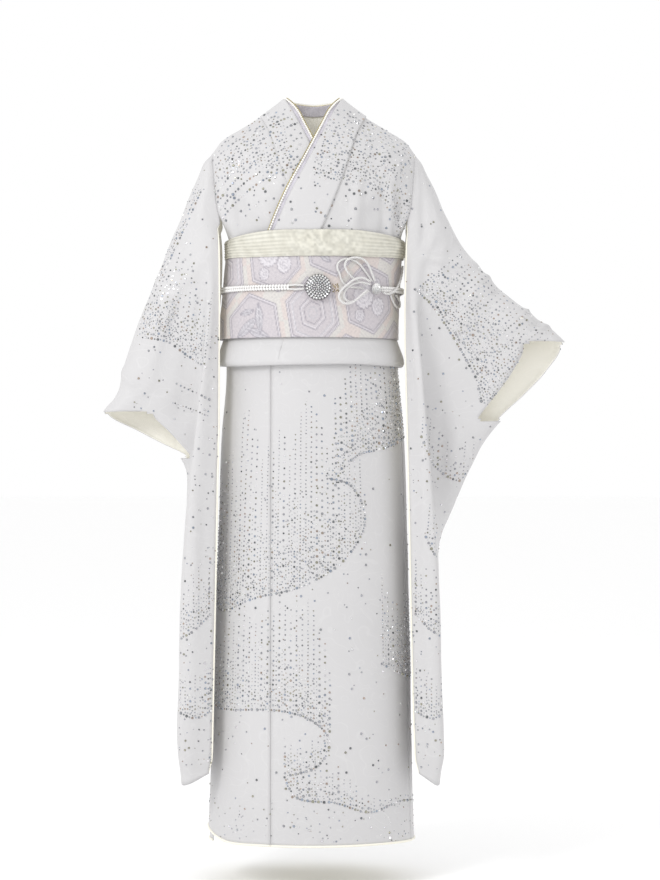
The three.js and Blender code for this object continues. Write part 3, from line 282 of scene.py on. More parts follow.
def lattice(name, thickness):
    """A wall's outer face as its grid: points[rows, columns], cells[rows - 1, columns - 1], whether its
    columns close round. Rows run down, and columns to the viewer's right as seen from outside. Columns that
    close round start at the back."""
    points, triangles = outer_faces(name, thickness)
    sides = {}
    for t, corners in enumerate(triangles):
        for k in range(3):
            sides.setdefault(frozenset((corners[k], corners[(k + 1) % 3])), []).append(t)
    spot = {0: {triangles[0][0]: (0, 0), triangles[0][1]: (1, 0), triangles[0][2]: (0, 1)}}
    stack = [0]
    while stack:
        t = stack.pop()
        known = spot[t]
        for k in range(3):
            p, q, r = triangles[t][k], triangles[t][(k + 1) % 3], triangles[t][(k + 2) % 3]
            for other in sides[frozenset((p, q))]:
                if other in spot:
                    continue
                s = next(v for v in triangles[other] if v not in (p, q))
                place = tuple(known[p][i] + known[q][i] - known[r][i] for i in (0, 1))
                spot[other] = {p: known[p], q: known[q], s: place}
                stack.append(other)
    ways = [(1, 0), (0, 1), (1, -1)]
    at_edge, lengths = [0, 0, 0], [[], [], []]
    for t, known in spot.items():
        corners = triangles[t]
        for k in range(3):
            p, q = corners[k], corners[(k + 1) % 3]
            d = (known[q][0] - known[p][0], known[q][1] - known[p][1])
            w = next(i for i, way in enumerate(ways) if way in (d, (-d[0], -d[1])))
            at_edge[w] += len(sides[frozenset((p, q))]) == 1
            lengths[w].append(np.linalg.norm(points[q] - points[p]))
    diagonal = max((i for i in range(3) if at_edge[i] == 0), key=lambda i: np.mean(lengths[i]))
    turn = {2: lambda x, y: (x, y), 0: lambda x, y: (x + y, x), 1: lambda x, y: (x + y, -y)}[diagonal]
    placed = [{v: turn(*xy) for v, xy in known.items()} for known in spot.values()]
    first, wrap = {}, (0, 0)
    for known in placed:
        for v, xy in known.items():
            step = (abs(xy[0] - first.setdefault(v, xy)[0]), abs(xy[1] - first[v][1]))
            if step != (0, 0) and (wrap == (0, 0) or sum(step) < sum(wrap)):
                wrap = step
    low = np.array([xy for known in placed for xy in known.values()]).min(0)
    around = wrap != (0, 0)
    axis = 0 if wrap[0] else 1
    places = {v: list(np.array(xy) - low) for v, xy in first.items()}
    if around:
        for place in places.values():
            place[axis] %= wrap[axis]
    size = np.array(list(places.values())).max(0) + 1
    grid = np.full((*size, 3), np.nan)
    for v, (i, j) in places.items():
        grid[i, j] = points[v]
    cells = np.zeros(size if around else size - 1, bool)
    number = {}
    for t, known in enumerate(placed):
        spots = np.array([places[v] for v in known])
        corner = []
        for k in (0, 1):
            values = sorted(set(spots[:, k]))
            wrapped = around and k == axis and values[-1] - values[0] > 1
            corner.append(values[-1] if wrapped else values[0])
        number[tuple(corner)] = number.get(tuple(corner), 0) + 1
    for (i, j), count in number.items():
        if i < cells.shape[0] and j < cells.shape[1]:
            cells[i, j] = count == 2
    if around:
        cells = cells[:-1] if axis == 1 else cells[:, :-1]
    a, b, c = (np.array(xy) for xy in placed[0].values())
    facing = (b - a)[0] * (c - a)[1] - (b - a)[1] * (c - a)[0]
    heights = [np.nanmean(np.abs(np.diff(grid[..., 2], axis=k))) for k in (0, 1)]
    if (around and axis == 0) or (not around and heights[1] > heights[0]):
        grid, cells, facing = grid.transpose(1, 0, 2), cells.T, -facing
    if np.nanmean(grid[0, :, 2]) < np.nanmean(grid[-1, :, 2]):
        grid, cells, facing = grid[::-1], cells[::-1], -facing
    if facing < 0:
        grid, cells = grid[:, ::-1], cells[:, ::-1]
    if around:
        start = int(np.argmax(np.nanmean(grid[..., 1], axis=0)))
        grid, cells = np.roll(grid, -start, axis=1), np.roll(cells, -start, axis=1)
    return grid.copy(), cells.copy(), around


def unit(vectors, least=1e-12):
    """The vectors made one long; below the least length they stay shorter."""
    return vectors / np.maximum(np.linalg.norm(vectors, axis=-1, keepdims=True), least)


def lengths_along(path):
    """How far along a path each of its points lies."""
    return np.concatenate([[0], np.cumsum(np.linalg.norm(np.diff(path, axis=0), axis=1))])


def slopes(values, t):
    """The slope of each column of values at each knot, one-sided where a neighbour is missing."""
    n = len(t)
    found = np.zeros_like(values)
    h = np.diff(t).reshape(-1, *[1] * (values.ndim - 1))
    steps = np.diff(values, axis=0) / h
    for i in range(n):
        before = steps[i - 1] if i > 0 else np.full_like(values[0], np.nan)
        after = steps[i] if i < n - 1 else np.full_like(values[0], np.nan)
        if 0 < i < n - 1:
            both = (before * h[i] + after * h[i - 1]) / (h[i] + h[i - 1])
        else:
            both = np.full_like(values[0], np.nan)
        ahead = after
        if i < n - 2:
            curved = after + (after - steps[i + 1]) * h[i] / (h[i] + h[i + 1])
            ahead = np.where(np.isnan(curved), after, curved)
        behind = before
        if i > 1:
            curved = before + (before - steps[i - 2]) * h[i - 1] / (h[i - 1] + h[i - 2])
            behind = np.where(np.isnan(curved), before, curved)
        one = np.where(np.isnan(ahead), behind, ahead)
        found[i] = np.where(np.isnan(both), one, both)
    return found


def finer(values, t, counts):
    """Values along the first axis on a smooth curve through them; counts[i] steps lead from i to i + 1."""
    m = slopes(values, t)
    rows, places = [], []
    for i, count in enumerate(counts):
        h = t[i + 1] - t[i]
        last = i == len(counts) - 1
        for k in range(count + last):
            u = k / count
            a, b = 2 * u**3 - 3 * u**2 + 1, u**3 - 2 * u**2 + u
            c, d = -2 * u**3 + 3 * u**2, u**3 - u**2
            if k == 0:
                rows.append(values[i])
            elif k == count:
                rows.append(values[i + 1])
            else:
                rows.append(a * values[i] + b * h * m[i] + c * values[i + 1] + d * h * m[i + 1])
            places.append(t[i] + u * h)
    return np.array(rows), np.array(places)


def evened(points, share):
    """Rows of points moved to even distances along themselves, each by its share from 0 to 1."""
    result = points.copy()
    for row in np.nonzero(share > 0)[0]:
        lengths = lengths_along(points[row])
        at = np.linspace(0, lengths[-1], len(lengths))
        even = np.stack([np.interp(at, lengths, points[row, :, k]) for k in range(3)], axis=1)
        result[row] += (even - points[row]) * share[row]
    return result


def new_piece(name, mesh, materials, colours):
    """An object that rides the root body; its points carry colours where they are given."""
    if colours is not None:
        layer = mesh.color_attributes.new("tint", "FLOAT_COLOR", "POINT")
        layer.data.foreach_set("color", np.concatenate([colours, np.ones((len(colours), 1))], axis=1).ravel())
    for material in materials:
        mesh.materials.append(material)
    piece = bpy.data.objects.new(name, mesh)
    bpy.context.scene.collection.objects.link(piece)
    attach(piece, "root")
    return piece


LAPPED = 2  # columns taken in beyond each end of a ring, so that its curve runs on
EVENED_OVER = 0.05  # the height over which even spacing sets in


class Sheet:
    """A sheet of cloth on the outer face of a CAD wall, on a finer grid. Steps are the longest sides of its
    cells; above the height even_above from the hem its rows' points are spaced evenly."""

    def __init__(self, name, step, thickness=CLOTH, step_across=None, even_above=None):
        grid, cells, self.around = lattice(name, thickness)
        if even_above is not None:
            grid = evened(grid, np.clip((grid[:, 0, 2] - HEM - even_above) / EVENED_OVER, 0, 1))
        if self.around:
            grid = np.concatenate([grid[:, -LAPPED:], grid, grid[:, : LAPPED + 1]], axis=1)
        down = np.nanmean(np.linalg.norm(np.diff(grid, axis=0), axis=2), axis=1)
        across = np.nanmean(np.linalg.norm(np.diff(grid, axis=1), axis=2), axis=0)
        t = np.concatenate([[0], np.cumsum(down)])
        s = np.concatenate([[0], np.cumsum(across)])
        row_counts = [max(1, math.ceil(d / step)) for d in down]
        column_counts = [max(1, math.ceil(d / (step_across or step))) for d in across]
        fine, self.t = finer(grid, t, row_counts)
        fine, self.s = finer(fine.transpose(1, 0, 2), s, column_counts)
        self.points = fine.transpose(1, 0, 2)
        if self.around:
            start, stop = sum(column_counts[:LAPPED]), sum(column_counts[:-LAPPED])
            self.points = self.points[:, start : stop + 1]
            self.s = self.s[start : stop + 1] - self.s[start]
            self.points[:, -1] = self.points[:, 0]
            column_counts = column_counts[LAPPED:-LAPPED]
        self.cells = np.repeat(np.repeat(cells, row_counts, axis=0), column_counts, axis=1)
        self.name = name

    def normals(self):
        down, across = np.gradient(self.points, axis=0), np.gradient(self.points, axis=1)
        if self.around:
            across[:, 0] = across[:, -1] = (self.points[:, 1] - self.points[:, -2]) / 2
        return unit(np.cross(down, across))

    def margin(self, width):
        """0 on the sheet's edges, 1 from the width on."""
        t, s = self.t[:, None], self.s[None, :]
        away = np.minimum(1.0, np.minimum(t - t.min(), t.max() - t) / width) + 0 * s
        if not self.around:
            away = np.minimum(away, np.minimum(s - s.min(), s.max() - s) / width)
        if not self.cells.all():
            i, j = np.nonzero(~self.cells)
            rim = np.zeros(away.shape, bool)
            for corner in ((0, 0), (0, 1), (1, 0), (1, 1)):
                rim[i + corner[0], j + corner[1]] = True
            rim = self.points[rim & ~np.isnan(self.points[..., 0])]
            for row, points in enumerate(np.nan_to_num(self.points)):
                gap = np.linalg.norm(points[:, None] - rim[None], axis=2).min(1)
                away[row] = np.minimum(away[row], gap / width)
        away = np.clip(away, 0, 1)
        return away * away * (3 - 2 * away)

    def push(self, amount):
        self.points = self.points + self.normals() * amount[..., None]

    def build(self, materials, thickness=1.5 * MM, colours=None):
        """The piece: a wall on the inner side of the grid, with the cloth's lengths in metres as its UV."""
        rows, columns = self.points.shape[:2]
        flat = self.points.reshape(-1, 3)
        number = np.arange(rows * columns).reshape(rows, columns)
        if self.around:
            number[:, -1] = number[:, 0]
        i, j = np.nonzero(self.cells)
        quads = np.stack([number[i, j], number[i + 1, j], number[i + 1, j + 1], number[i, j + 1]], axis=1)
        keep = ~np.isnan(flat[quads].sum((1, 2)))
        quads, i, j = quads[keep], i[keep], j[keep]
        used, quads = np.unique(quads, return_inverse=True)
        quads = quads.reshape(-1, 4)
        mesh = bpy.data.meshes.new(self.name + "_cloth")
        mesh.from_pydata(flat[used].tolist(), [], quads.tolist())
        uv = mesh.uv_layers.new(name="cloth")
        corner_s = np.stack([self.s[j], self.s[j], self.s[j + 1], self.s[j + 1]], axis=1)
        corner_t = np.stack([self.t[i], self.t[i + 1], self.t[i + 1], self.t[i]], axis=1)
        uv.data.foreach_set("uv", np.stack([corner_s, -corner_t], axis=2).ravel())
        mesh.shade_smooth()
        shown = None if colours is None else colours.reshape(-1, 3)[used]
        self.piece = new_piece(self.name + "_cloth", mesh, materials, shown)
        wall = self.piece.modifiers.new("wall", "SOLIDIFY")
        wall.thickness = thickness
        wall.offset = -1
        wall.use_quality_normals = True
        wall.material_offset = 1 if len(materials) > 1 else 0
        wall.material_offset_rim = 0
        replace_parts(self.piece, self.name)


GARMENT = [
    "left_body", "right_body", "left_front", "right_front", "left_overlap", "right_overlap",
    "left_back", "right_back", "left_tuck", "right_tuck", "left_sleeve", "right_sleeve", "collar",
]

# ---- Soft folds --------------------------------------------------------------------------------------------


def value_noise(points, scale, seed):
    """Smooth noise from -1 to 1 at the points, with features of about the given scale in metres."""
    table = np.random.default_rng(seed).uniform(-1, 1, 4096)
    p = np.nan_to_num(points) / scale + 64
    low = np.floor(p).astype(int)
    f = p - low
    f = f * f * (3 - 2 * f)
    total = 0
    for corner in range(8):
        step = np.array([corner & 1, corner >> 1 & 1, corner >> 2 & 1])
        at = low + step
        key = (at[..., 0] * 73 + at[..., 1] * 157 + at[..., 2] * 1117) % 4096
        total = total + table[key] * np.prod(np.where(step, f, 1 - f), axis=-1)
    return total


def crease(points, line, width):
    """How much of a crease is felt at the points: 1 on its line (x, z pairs in millimetres, heights from the
    hem), fading across it over the width and towards its ends."""
    x, z = points[..., 0] / MM, (points[..., 2] - HEM) / MM
    best, along = np.full(x.shape, 1e9), np.zeros(x.shape)
    lengths = [math.dist(p, q) for p, q in zip(line, line[1:])]
    start, total = 0, sum(lengths)
    for (ax, az), (bx, bz), length in zip(line, line[1:], lengths):
        u = np.clip(((x - ax) * (bx - ax) + (z - az) * (bz - az)) / length**2, 0, 1)
        away = np.hypot(x - ax - u * (bx - ax), z - az - u * (bz - az))
        along = np.where(away < best, start + u * length, along)
        best = np.minimum(best, away)
        start += length
    ends = np.clip(np.minimum(along, total - along) / (0.35 * total), 0, 1)
    return np.exp(-((best / width) ** 2)) * (0.15 + 0.85 * np.sin(ends * math.pi / 2))


# Creases of each piece: side seen from, line, width and height in millimetres, troughs negative.
CREASES = {
    "left_body": [
        ("front", [(139, 1215), (141, 1150), (136, 1090)], 7, 5),
        ("front", [(126, 1205), (128, 1150), (124, 1095)], 6, -3.5),
        ("front", [(152, 1200), (153, 1150), (148, 1100)], 5, -4),
        ("front", [(84, 1226), (80, 1170), (70, 1110)], 9, 3),
        ("front", [(98, 1215), (95, 1165), (92, 1110)], 7, -2),
        ("front", [(165, 1265), (150, 1225), (146, 1190)], 9, 3),
        ("back", [(150, 1230), (146, 1160), (140, 1100)], 8, 4),
        ("back", [(110, 1220), (112, 1160), (108, 1110)], 10, 2.5),
        ("back", [(60, 1300), (90, 1260), (130, 1230)], 12, 2),
    ],
    "right_body": [
        ("front", [(-150, 1230), (-147, 1160), (-140, 1095)], 8, 3),
        ("front", [(-136, 1210), (-132, 1150), (-128, 1100)], 7, -2),
        ("front", [(-95, 1215), (-88, 1160), (-70, 1110)], 12, 2),
        ("front", [(-120, 1290), (-140, 1260), (-160, 1225)], 9, 2),
        ("back", [(-148, 1235), (-144, 1165), (-139, 1100)], 9, 3.5),
        ("back", [(-112, 1210), (-108, 1160), (-106, 1105)], 9, -2),
    ],
    "left_sleeve": [
        ("front", [(206, 1190), (212, 1160), (210, 1120)], 8, 2.5),
        ("front", [(190, 1078), (230, 1066), (275, 1062), (318, 1052)], 8, 5),
        ("front", [(200, 1058), (245, 1047), (300, 1040)], 8, -4),
        ("front", [(330, 1052), (322, 1035), (300, 1020)], 9, 6),
        ("front", [(352, 1028), (342, 1012), (322, 1000)], 7, -4),
        ("front", [(305, 1023), (285, 975), (253, 912)], 11, 5),
        ("front", [(332, 1005), (318, 960), (300, 905)], 13, -4),
        ("front", [(398, 984), (388, 962), (372, 950)], 8, 6),
        ("front", [(436, 950), (422, 938), (402, 930)], 7, 5),
        ("front", [(418, 962), (408, 948), (392, 938)], 6, -4),
        ("front", [(380, 930), (350, 870), (310, 800)], 16, 4),
        ("front", [(250, 860), (240, 760), (228, 640)], 12, -3),
        ("front", [(285, 800), (262, 700), (244, 560)], 14, 3),
        ("front", [(199, 760), (201, 560), (206, 330)], 6, 2),
        ("back", [(214, 1240), (226, 1190), (232, 1140)], 10, 4),
        ("back", [(196, 1085), (240, 1070), (300, 1050)], 10, 5),
        ("back", [(330, 1040), (318, 1010), (290, 985)], 10, 5),
        ("back", [(395, 980), (380, 950), (350, 930)], 9, 5),
        ("back", [(340, 930), (310, 850), (270, 770)], 16, 4),
        ("back", [(270, 820), (250, 700), (238, 540)], 14, 4),
        ("back", [(222, 700), (218, 500), (220, 300)], 10, 2.5),
    ],
    "right_sleeve": [
        ("front", [(-204, 1190), (-209, 1160), (-212, 1120)], 8, 2.5),
        ("front", [(-220, 1160), (-228, 1115), (-240, 1070)], 11, -3),
        ("front", [(-200, 1075), (-222, 1040), (-246, 1015)], 12, 4),
        ("front", [(-196, 1040), (-208, 985), (-216, 920)], 9, -3),
        ("front", [(-285, 1045), (-282, 1000), (-268, 960)], 9, 3),
        ("front", [(-350, 872), (-340, 850), (-320, 836)], 9, 5),
        ("front", [(-340, 838), (-318, 818), (-290, 806)], 8, -3),
        ("front", [(-262, 1000), (-278, 900), (-300, 800)], 20, 3),
        ("front", [(-230, 930), (-240, 840), (-250, 740)], 15, -3),
        ("front", [(-218, 700), (-214, 560), (-216, 360)], 8, 2),
        ("back", [(-214, 1230), (-228, 1170), (-240, 1100)], 11, 4),
        ("back", [(-250, 1060), (-255, 990), (-262, 920)], 15, 3),
        ("back", [(-330, 880), (-310, 850), (-280, 830)], 10, 5),
        ("back", [(-280, 900), (-262, 800), (-246, 700)], 16, 4),
        ("back", [(-226, 660), (-222, 480), (-226, 300)], 10, 2.5),
    ],
    "left_front": [
        ("front", [(60, 880), (64, 700), (80, 480)], 26, 1.6),
        ("front", [(128, 860), (132, 640), (142, 380)], 20, 1.8),
        ("front", [(-20, 560), (-24, 320), (-16, 60)], 26, 1.4),
    ],
    "left_overlap": [("front", [(-110, 700), (-116, 420), (-124, 120)], 16, 1.6)],
    "left_back": [
        ("back", [(70, 840), (80, 560), (86, 200)], 24, 2.5),
        ("back", [(130, 700), (136, 380), (140, 80)], 20, 2),
    ],
    "right_back": [
        ("back", [(-64, 830), (-78, 520), (-84, 160)], 22, 2.5),
        ("back", [(-126, 760), (-134, 420), (-140, 100)], 20, 2),
    ],
    "left_tuck": [
        ("front", [(20, 899), (90, 896), (150, 892)], 5, 1.6),
        ("front", [(-100, 912), (-60, 905), (-20, 906)], 5, -1.2),
        ("back", [(-60, 905), (10, 898), (90, 903)], 6, 1.4),
    ],
}
CREASE_GAIN = 1.15  # the heights above are multiplied by this
# For each kind of panel: height of its ripples and longest side of its cells, in millimetres.
RIPPLE = {"sleeve": 2.0, "body": 1.2, "front": 0.9, "back": 1.2, "overlap": 0.9, "tuck": 0.8, "collar": 0.35}
STEP = {"sleeve": 5.5, "body": 5.5, "front": 9, "back": 9, "overlap": 9, "tuck": 5, "collar": 5}

ARMHOLE_END = HEM + 1.118
EVEN_ABOVE = 1.06  # height from the hem above which a sleeve's points are spaced evenly
ARMHOLE_FADE = 0.022  # the height over which the sewing sets in above the armhole's end
SEWN_WITHIN = 0.012  # the longest way that a sleeve's edge is drawn to its armhole
SIDE_REACH = 0.014  # how far into the sleeve the drawing is felt, from its side edges
TOP_REACH = 0.012  # and from its upper edge
BOTTOM_SEAM = 0.03  # how far above its lower edge a sleeve starts to close
LEAST_GAP = 3.8 * MM  # between the outer faces of a sleeve's front and back
LINING_EDGE_TOP = HEM + 1.13
SEAM_BOTTOM = HEM + 1.135


def armhole_of(body):
    """The edge of a body panel that lies farther from the middle."""
    return max(body.points[:, 0], body.points[:, -1], key=lambda edge: abs(edge[:, 0].mean()))


def sew_into_armhole(sleeve, body):
    """Draws the sleeve's edges onto the body's armhole, fading out below it and across the sleeve."""
    armhole = armhole_of(body)

    def moves(edge):
        away = armhole[None] - edge[:, None]
        distance = np.linalg.norm(away, axis=2)
        nearest = distance.argmin(1)
        share = np.clip((edge[:, 2] - ARMHOLE_END) / ARMHOLE_FADE, 0, 1) * (distance.min(1) < SEWN_WITHIN)
        return away[np.arange(len(edge)), nearest] * share[:, None]

    top, first, last = moves(sleeve.points[0]), moves(sleeve.points[:, 0]), moves(sleeve.points[:, -1])
    s, t = sleeve.s[None, :, None], sleeve.t[:, None, None]
    reaches = [(s - s.min()) / SIDE_REACH, (s.max() - s) / SIDE_REACH, (t - t.min()) / TOP_REACH]
    shares = [np.exp(-(reach**2)) + 0 * sleeve.points for reach in reaches]
    moved = shares[0] * first[:, None] + shares[1] * last[:, None] + shares[2] * top[None]
    sleeve.points = sleeve.points + moved / np.maximum(sum(shares), 1)


def facing_apart(outward):
    """At each point of a sleeve, the way that leads from its other layer to this one."""
    facing = np.nan_to_num(outward - outward[:, ::-1])
    for _ in range(6):
        facing[:, 1:-1] = (facing[:, :-2] + facing[:, 1:-1] + facing[:, 2:]) / 3
    return unit(facing, 0.05)


def keep_apart(sleeve, facing):
    """Moves the front and back of a sleeve away from each other where the folds bring them too close."""
    gap = np.sum((sleeve.points - sleeve.points[:, ::-1]) * facing, axis=2)
    sleeve.points = sleeve.points + facing * (np.clip(LEAST_GAP - gap, 0, 12 * MM) / 2)[..., None]


def close_bottom(sleeve, facing):
    """Brings the front and back of a sleeve together along its sewn lower edge."""
    other = sleeve.points[:, ::-1]
    middle, half = (sleeve.points + other) / 2, (sleeve.points - other) / 2
    share = np.clip(1 - (sleeve.t[-1] - sleeve.t) / BOTTOM_SEAM, 0, 1)[:, None, None]
    share = share * share * (3 - 2 * share) * (np.linalg.norm(half, axis=2, keepdims=True) < BOTTOM_SEAM)
    sleeve.points = middle + half * (1 - share) + facing * CLOTH * share


sheets = {}
for order, name in enumerate(GARMENT):
    kind = name.split("_")[-1]
    sheet = sheets[name] = Sheet(name, STEP[kind] * MM, even_above=EVEN_ABOVE if kind == "sleeve" else None)
    normals = sheet.normals()
    amount = value_noise(sheet.points * (1, 1, 0.45), 0.07, 20 + order) * RIPPLE[kind] * MM
    amount += value_noise(sheet.points * (1, 1, 0.7), 0.03, 60 + order) * RIPPLE[kind] * 0.3 * MM
    for side, line, width, height in CREASES.get(name, []):
        facing = np.clip(normals[..., 1] * (-1 if side == "front" else 1) * 2.5 + 0.2, 0, 1)
        amount += crease(sheet.points, line, width) * facing * height * CREASE_GAIN * MM
    sheet.push(amount * sheet.margin(18 * MM))
    if kind == "sleeve":
        sew_into_armhole(sheet, sheets[name.replace("sleeve", "body")])
        facing = facing_apart(normals)
        keep_apart(sheet, facing)
        close_bottom(sheet, facing)
    sheet.build([SILK, LINING])

# ---- Crystals ----------------------------------------------------------------------------------------------

rng = np.random.default_rng(7)


def crystal_finish():
    """Shiny coated glass on foil, in the shade of each stone."""
    m = Nodes("crystal", (0.6, 0.6, 0.63), 0.16, 0.75)
    cloudy = m.noise(m.solid(), 900.0, 1.0)
    m.link(m.mix(m.tint(), cloudy.outputs["Color"], 0.35, "MULTIPLY"), m.shader.inputs["Base Color"])
    m.shader.inputs["Coat Weight"].default_value = 0.8
    m.shader.inputs["Coat Roughness"].default_value = 0.05
    return m.material


CRYSTAL = crystal_finish()
GROWN = 1.16  # how much wider the stones are made than the sizes drawn below
# Shades of the crystals and how often each is met: grey, dark, olive, copper, blue and bright.
SHADES = [
    ((0.42, 0.43, 0.46), 0.42), ((0.17, 0.18, 0.19), 0.1), ((0.37, 0.36, 0.28), 0.12),
    ((0.45, 0.36, 0.3), 0.08), ((0.34, 0.39, 0.47), 0.12), ((0.95, 0.95, 0.97), 0.16),
]


def piece_from(name, points, faces, material, colours=None, smooth=False):
    """A piece of its own, made of points and faces in metres."""
    mesh = bpy.data.meshes.new(name)
    mesh.from_pydata(np.asarray(points).tolist(), [], faces)
    if smooth:
        mesh.shade_smooth()
    return new_piece(name, mesh, [material], colours)


def sew_on(name, places, normals, radii, shades=None, height=0.5):
    """Faceted crystals in one mesh: a wide girdle sunk a little into the cloth and a flat table."""
    sides = 6
    places, normals, radii = np.array(places), np.array(normals), np.array(radii)
    n = len(places)
    help_axis = np.where(np.abs(normals[:, 2:3]) < 0.9, [[0, 0, 1.0]], [[1.0, 0, 0]])
    e1 = unit(np.cross(help_axis, normals))
    e2 = np.cross(normals, e1)
    spin = rng.uniform(0, 2 * math.pi, n)[:, None] + np.arange(sides) * 2 * math.pi / sides
    ring = np.cos(spin)[..., None] * e1[:, None] + np.sin(spin)[..., None] * e2[:, None]
    r = radii[:, None, None]
    up = normals[:, None, :]
    base = places[:, None] + ring * r - up * r * 0.18
    top = places[:, None] + ring * r * 0.58 + up * r * height
    points = np.concatenate([base, top], axis=1).reshape(-1, 3)
    faces = []
    for k in range(n):
        o = 2 * sides * k
        for j in range(sides):
            q = (j + 1) % sides
            faces.append((o + j, o + q, o + sides + q, o + sides + j))
        faces.append(tuple(o + sides + j for j in range(sides)))
        faces.append(tuple(o + j for j in reversed(range(sides))))
    if shades is None:
        choice = rng.choice(len(SHADES), n, p=[share for _, share in SHADES])
        shades = np.array([c for c, _ in SHADES])[choice] * rng.uniform(0.75, 1.25, (n, 1))
    colours = np.repeat(np.clip(shades, 0, 1), 2 * sides, axis=0)
    return piece_from(name, points, faces, CRYSTAL, colours)


def tree_of(meshes):
    """The surfaces of some meshes, for casting on."""
    points, faces = [], []
    for mesh in meshes:
        start = len(points)
        points += [v.co.copy() for v in mesh.vertices]
        faces += [tuple(v + start for v in p.vertices) for p in mesh.polygons]
    return BVHTree.FromPolygons(points, faces)


def surface(names):
    """The built surfaces of the named sheets, without their walls' thickness."""
    return tree_of([sheets[name].piece.data for name in names])


class Spread:
    """Crystals laid out on a flat drawing, each as x, z and diameter in millimetres."""

    def __init__(self):
        self.spots = []

    def along(self, line, pitch=11.5, big=5.2, small=3.2):
        """A flowing edge: large and small by turns along a smooth line."""
        path = smooth_line(line)
        lengths = lengths_along(path)
        for k in range(int(lengths[-1] / (pitch / 2))):
            x, z = (np.interp(k * pitch / 2, lengths, path[:, i]) for i in (0, 1))
            size = big if k % 2 == 0 else small
            spot = (x + rng.normal(0, 0.35), z + rng.normal(0, 0.35), size * rng.uniform(0.85, 1.15))
            self.spots.append(spot)
        return path, lengths

    def strings(self, line, rise, reach, pitch=12.5, fill=1.0, edged=True, grow=1.0):
        """Strings that rise from a flowing edge: reach(share along it) is the longest, in millimetres."""
        path, lengths = self.along(line)
        if not edged:
            self.spots = self.spots[: -int(lengths[-1] / 5.75)]
        rise = np.array(rise) / np.linalg.norm(rise)
        at, number = rng.uniform(0, 4), 0
        while at < lengths[-1]:
            share = at / lengths[-1]
            start, ahead = ([np.interp(p, lengths, path[:, i]) for i in (0, 1)]
                            for p in (at, min(at + 3, lengths[-1])))
            start = np.array(start)
            slope = np.array(ahead) - start
            across = abs(slope[0] * rise[1] - slope[1] * rise[0]) / max(np.linalg.norm(slope), 1e-6)
            longest = reach(share)
            main = number % 2 == 0
            length = longest * (rng.uniform(0.62, 1.0) if main else rng.uniform(0.2, 0.55))
            size = rng.choice([3.2, 4.2, 5.0]) if main else rng.choice([2.4, 3.0])
            gap = {3.2: 6.4, 4.2: 8.8, 5.0: 11.5, 2.4: 6.5, 3.0: 8.0}[float(size)]
            h = gap * rng.uniform(0.6, 1)
            while h < length:
                fade = 1 - 0.35 * h / max(length, 1)
                wobble = rng.normal(0, 0.25)
                spot = start + rise * h
                self.spots.append((spot[0] + wobble, spot[1], grow * size * fade * rng.uniform(0.8, 1.15)))
                h += gap * rng.uniform(0.9, 1.1)
            for _ in range(int(fill * longest / 22)):
                h = 6 + rng.exponential(longest * 0.16)
                spot = start + rise * h + rng.normal(0, 4, 2)
                self.spots.append((*spot, rng.choice([2.2, 2.8, 3.6])))
            at += max(pitch * 0.5 / max(across, 0.35), 3.5)
            number += 1

    def scatter(self, box, count, sizes=(2.6, 3.6, 4.8), chance=lambda x, z: 1.0):
        """Single stones at random in a box of x and z, each kept by the chance at its place."""
        x0, z0, x1, z1 = box
        for _ in range(count):
            x, z = rng.uniform(x0, x1), rng.uniform(z0, z1)
            if rng.uniform() < chance(x, z):
                self.spots.append((x, z, rng.choice(sizes)))

    def thinned(self, least=1.15):
        """The spots without those that lie on another."""
        cell, kept = {}, []
        for x, z, size in self.spots:
            key = (int(x // 6), int(z // 6))
            near = [s for i in (-1, 0, 1) for j in (-1, 0, 1) for s in cell.get((key[0] + i, key[1] + j), [])]
            if all(math.hypot(x - a, z - b) > least * (size + c) / 2 for a, b, c in near):
                cell.setdefault(key, []).append((x, z, size))
                kept.append((x, z, size))
        return kept


def smooth_line(line, steps=14):
    """Points on a smooth curve through a few."""
    p = np.array([line[0], *line, line[-1]], float)
    found = []
    for i in range(1, len(p) - 2):
        a, b, c, d = p[i - 1 : i + 3]
        for k in range(steps):
            u = k / steps
            square, cube = 2 * a - 5 * b + 4 * c - d, 3 * b - a - 3 * c + d
            found.append(0.5 * (2 * b + (c - a) * u + square * u**2 + cube * u**3))
    return np.array([*found, p[-1]])


BODY_RADIUS = 165  # of the drawings that run round the body, in millimetres
BODY_MIDDLE = 0.004  # its place from front to back
CAST_FROM = 0.34  # how far from the body's middle the rays start
EDGE_ON = 0.2  # stones seen flat aren't sewn where the cloth faces the viewer less than this


def round_body(x, z):
    """The ray on which a spot is cast whose x runs round the body: its start and way."""
    a = x / BODY_RADIUS
    away = Vector((math.sin(a), -math.cos(a), 0))
    return Vector((0, BODY_MIDDLE, HEM + z * MM)) + away * CAST_FROM, -away


def from_front(x, z):
    return Vector((x * MM, -1, HEM + z * MM)), Vector((0, 1, 0))


def from_back(x, z):
    return Vector((x * MM, 1, HEM + z * MM)), Vector((0, -1, 0))


def cast(tree, spots, ray):
    """Places, normals and radii of the stones of the spots whose rays meet the cloth."""
    places, normals, radii = [], [], []
    for x, z, size in spots:
        hit, normal, _, _ = tree.ray_cast(*ray(x, z))
        if hit is not None and (ray is round_body or abs(normal.y) > EDGE_ON):
            places.append(hit)
            normals.append(normal)
            radii.append(size * GROWN / 2 * MM)
    return places, normals, radii


def sew_on_both(name, tree, front, back):
    """Sews one drawing on the front of the cloth and one on its back."""
    shown = [cast(tree, front.thinned(), from_front), cast(tree, back.thinned(), from_back)]
    sew_on(name, *[sum((s[k] for s in shown), []) for k in range(3)])


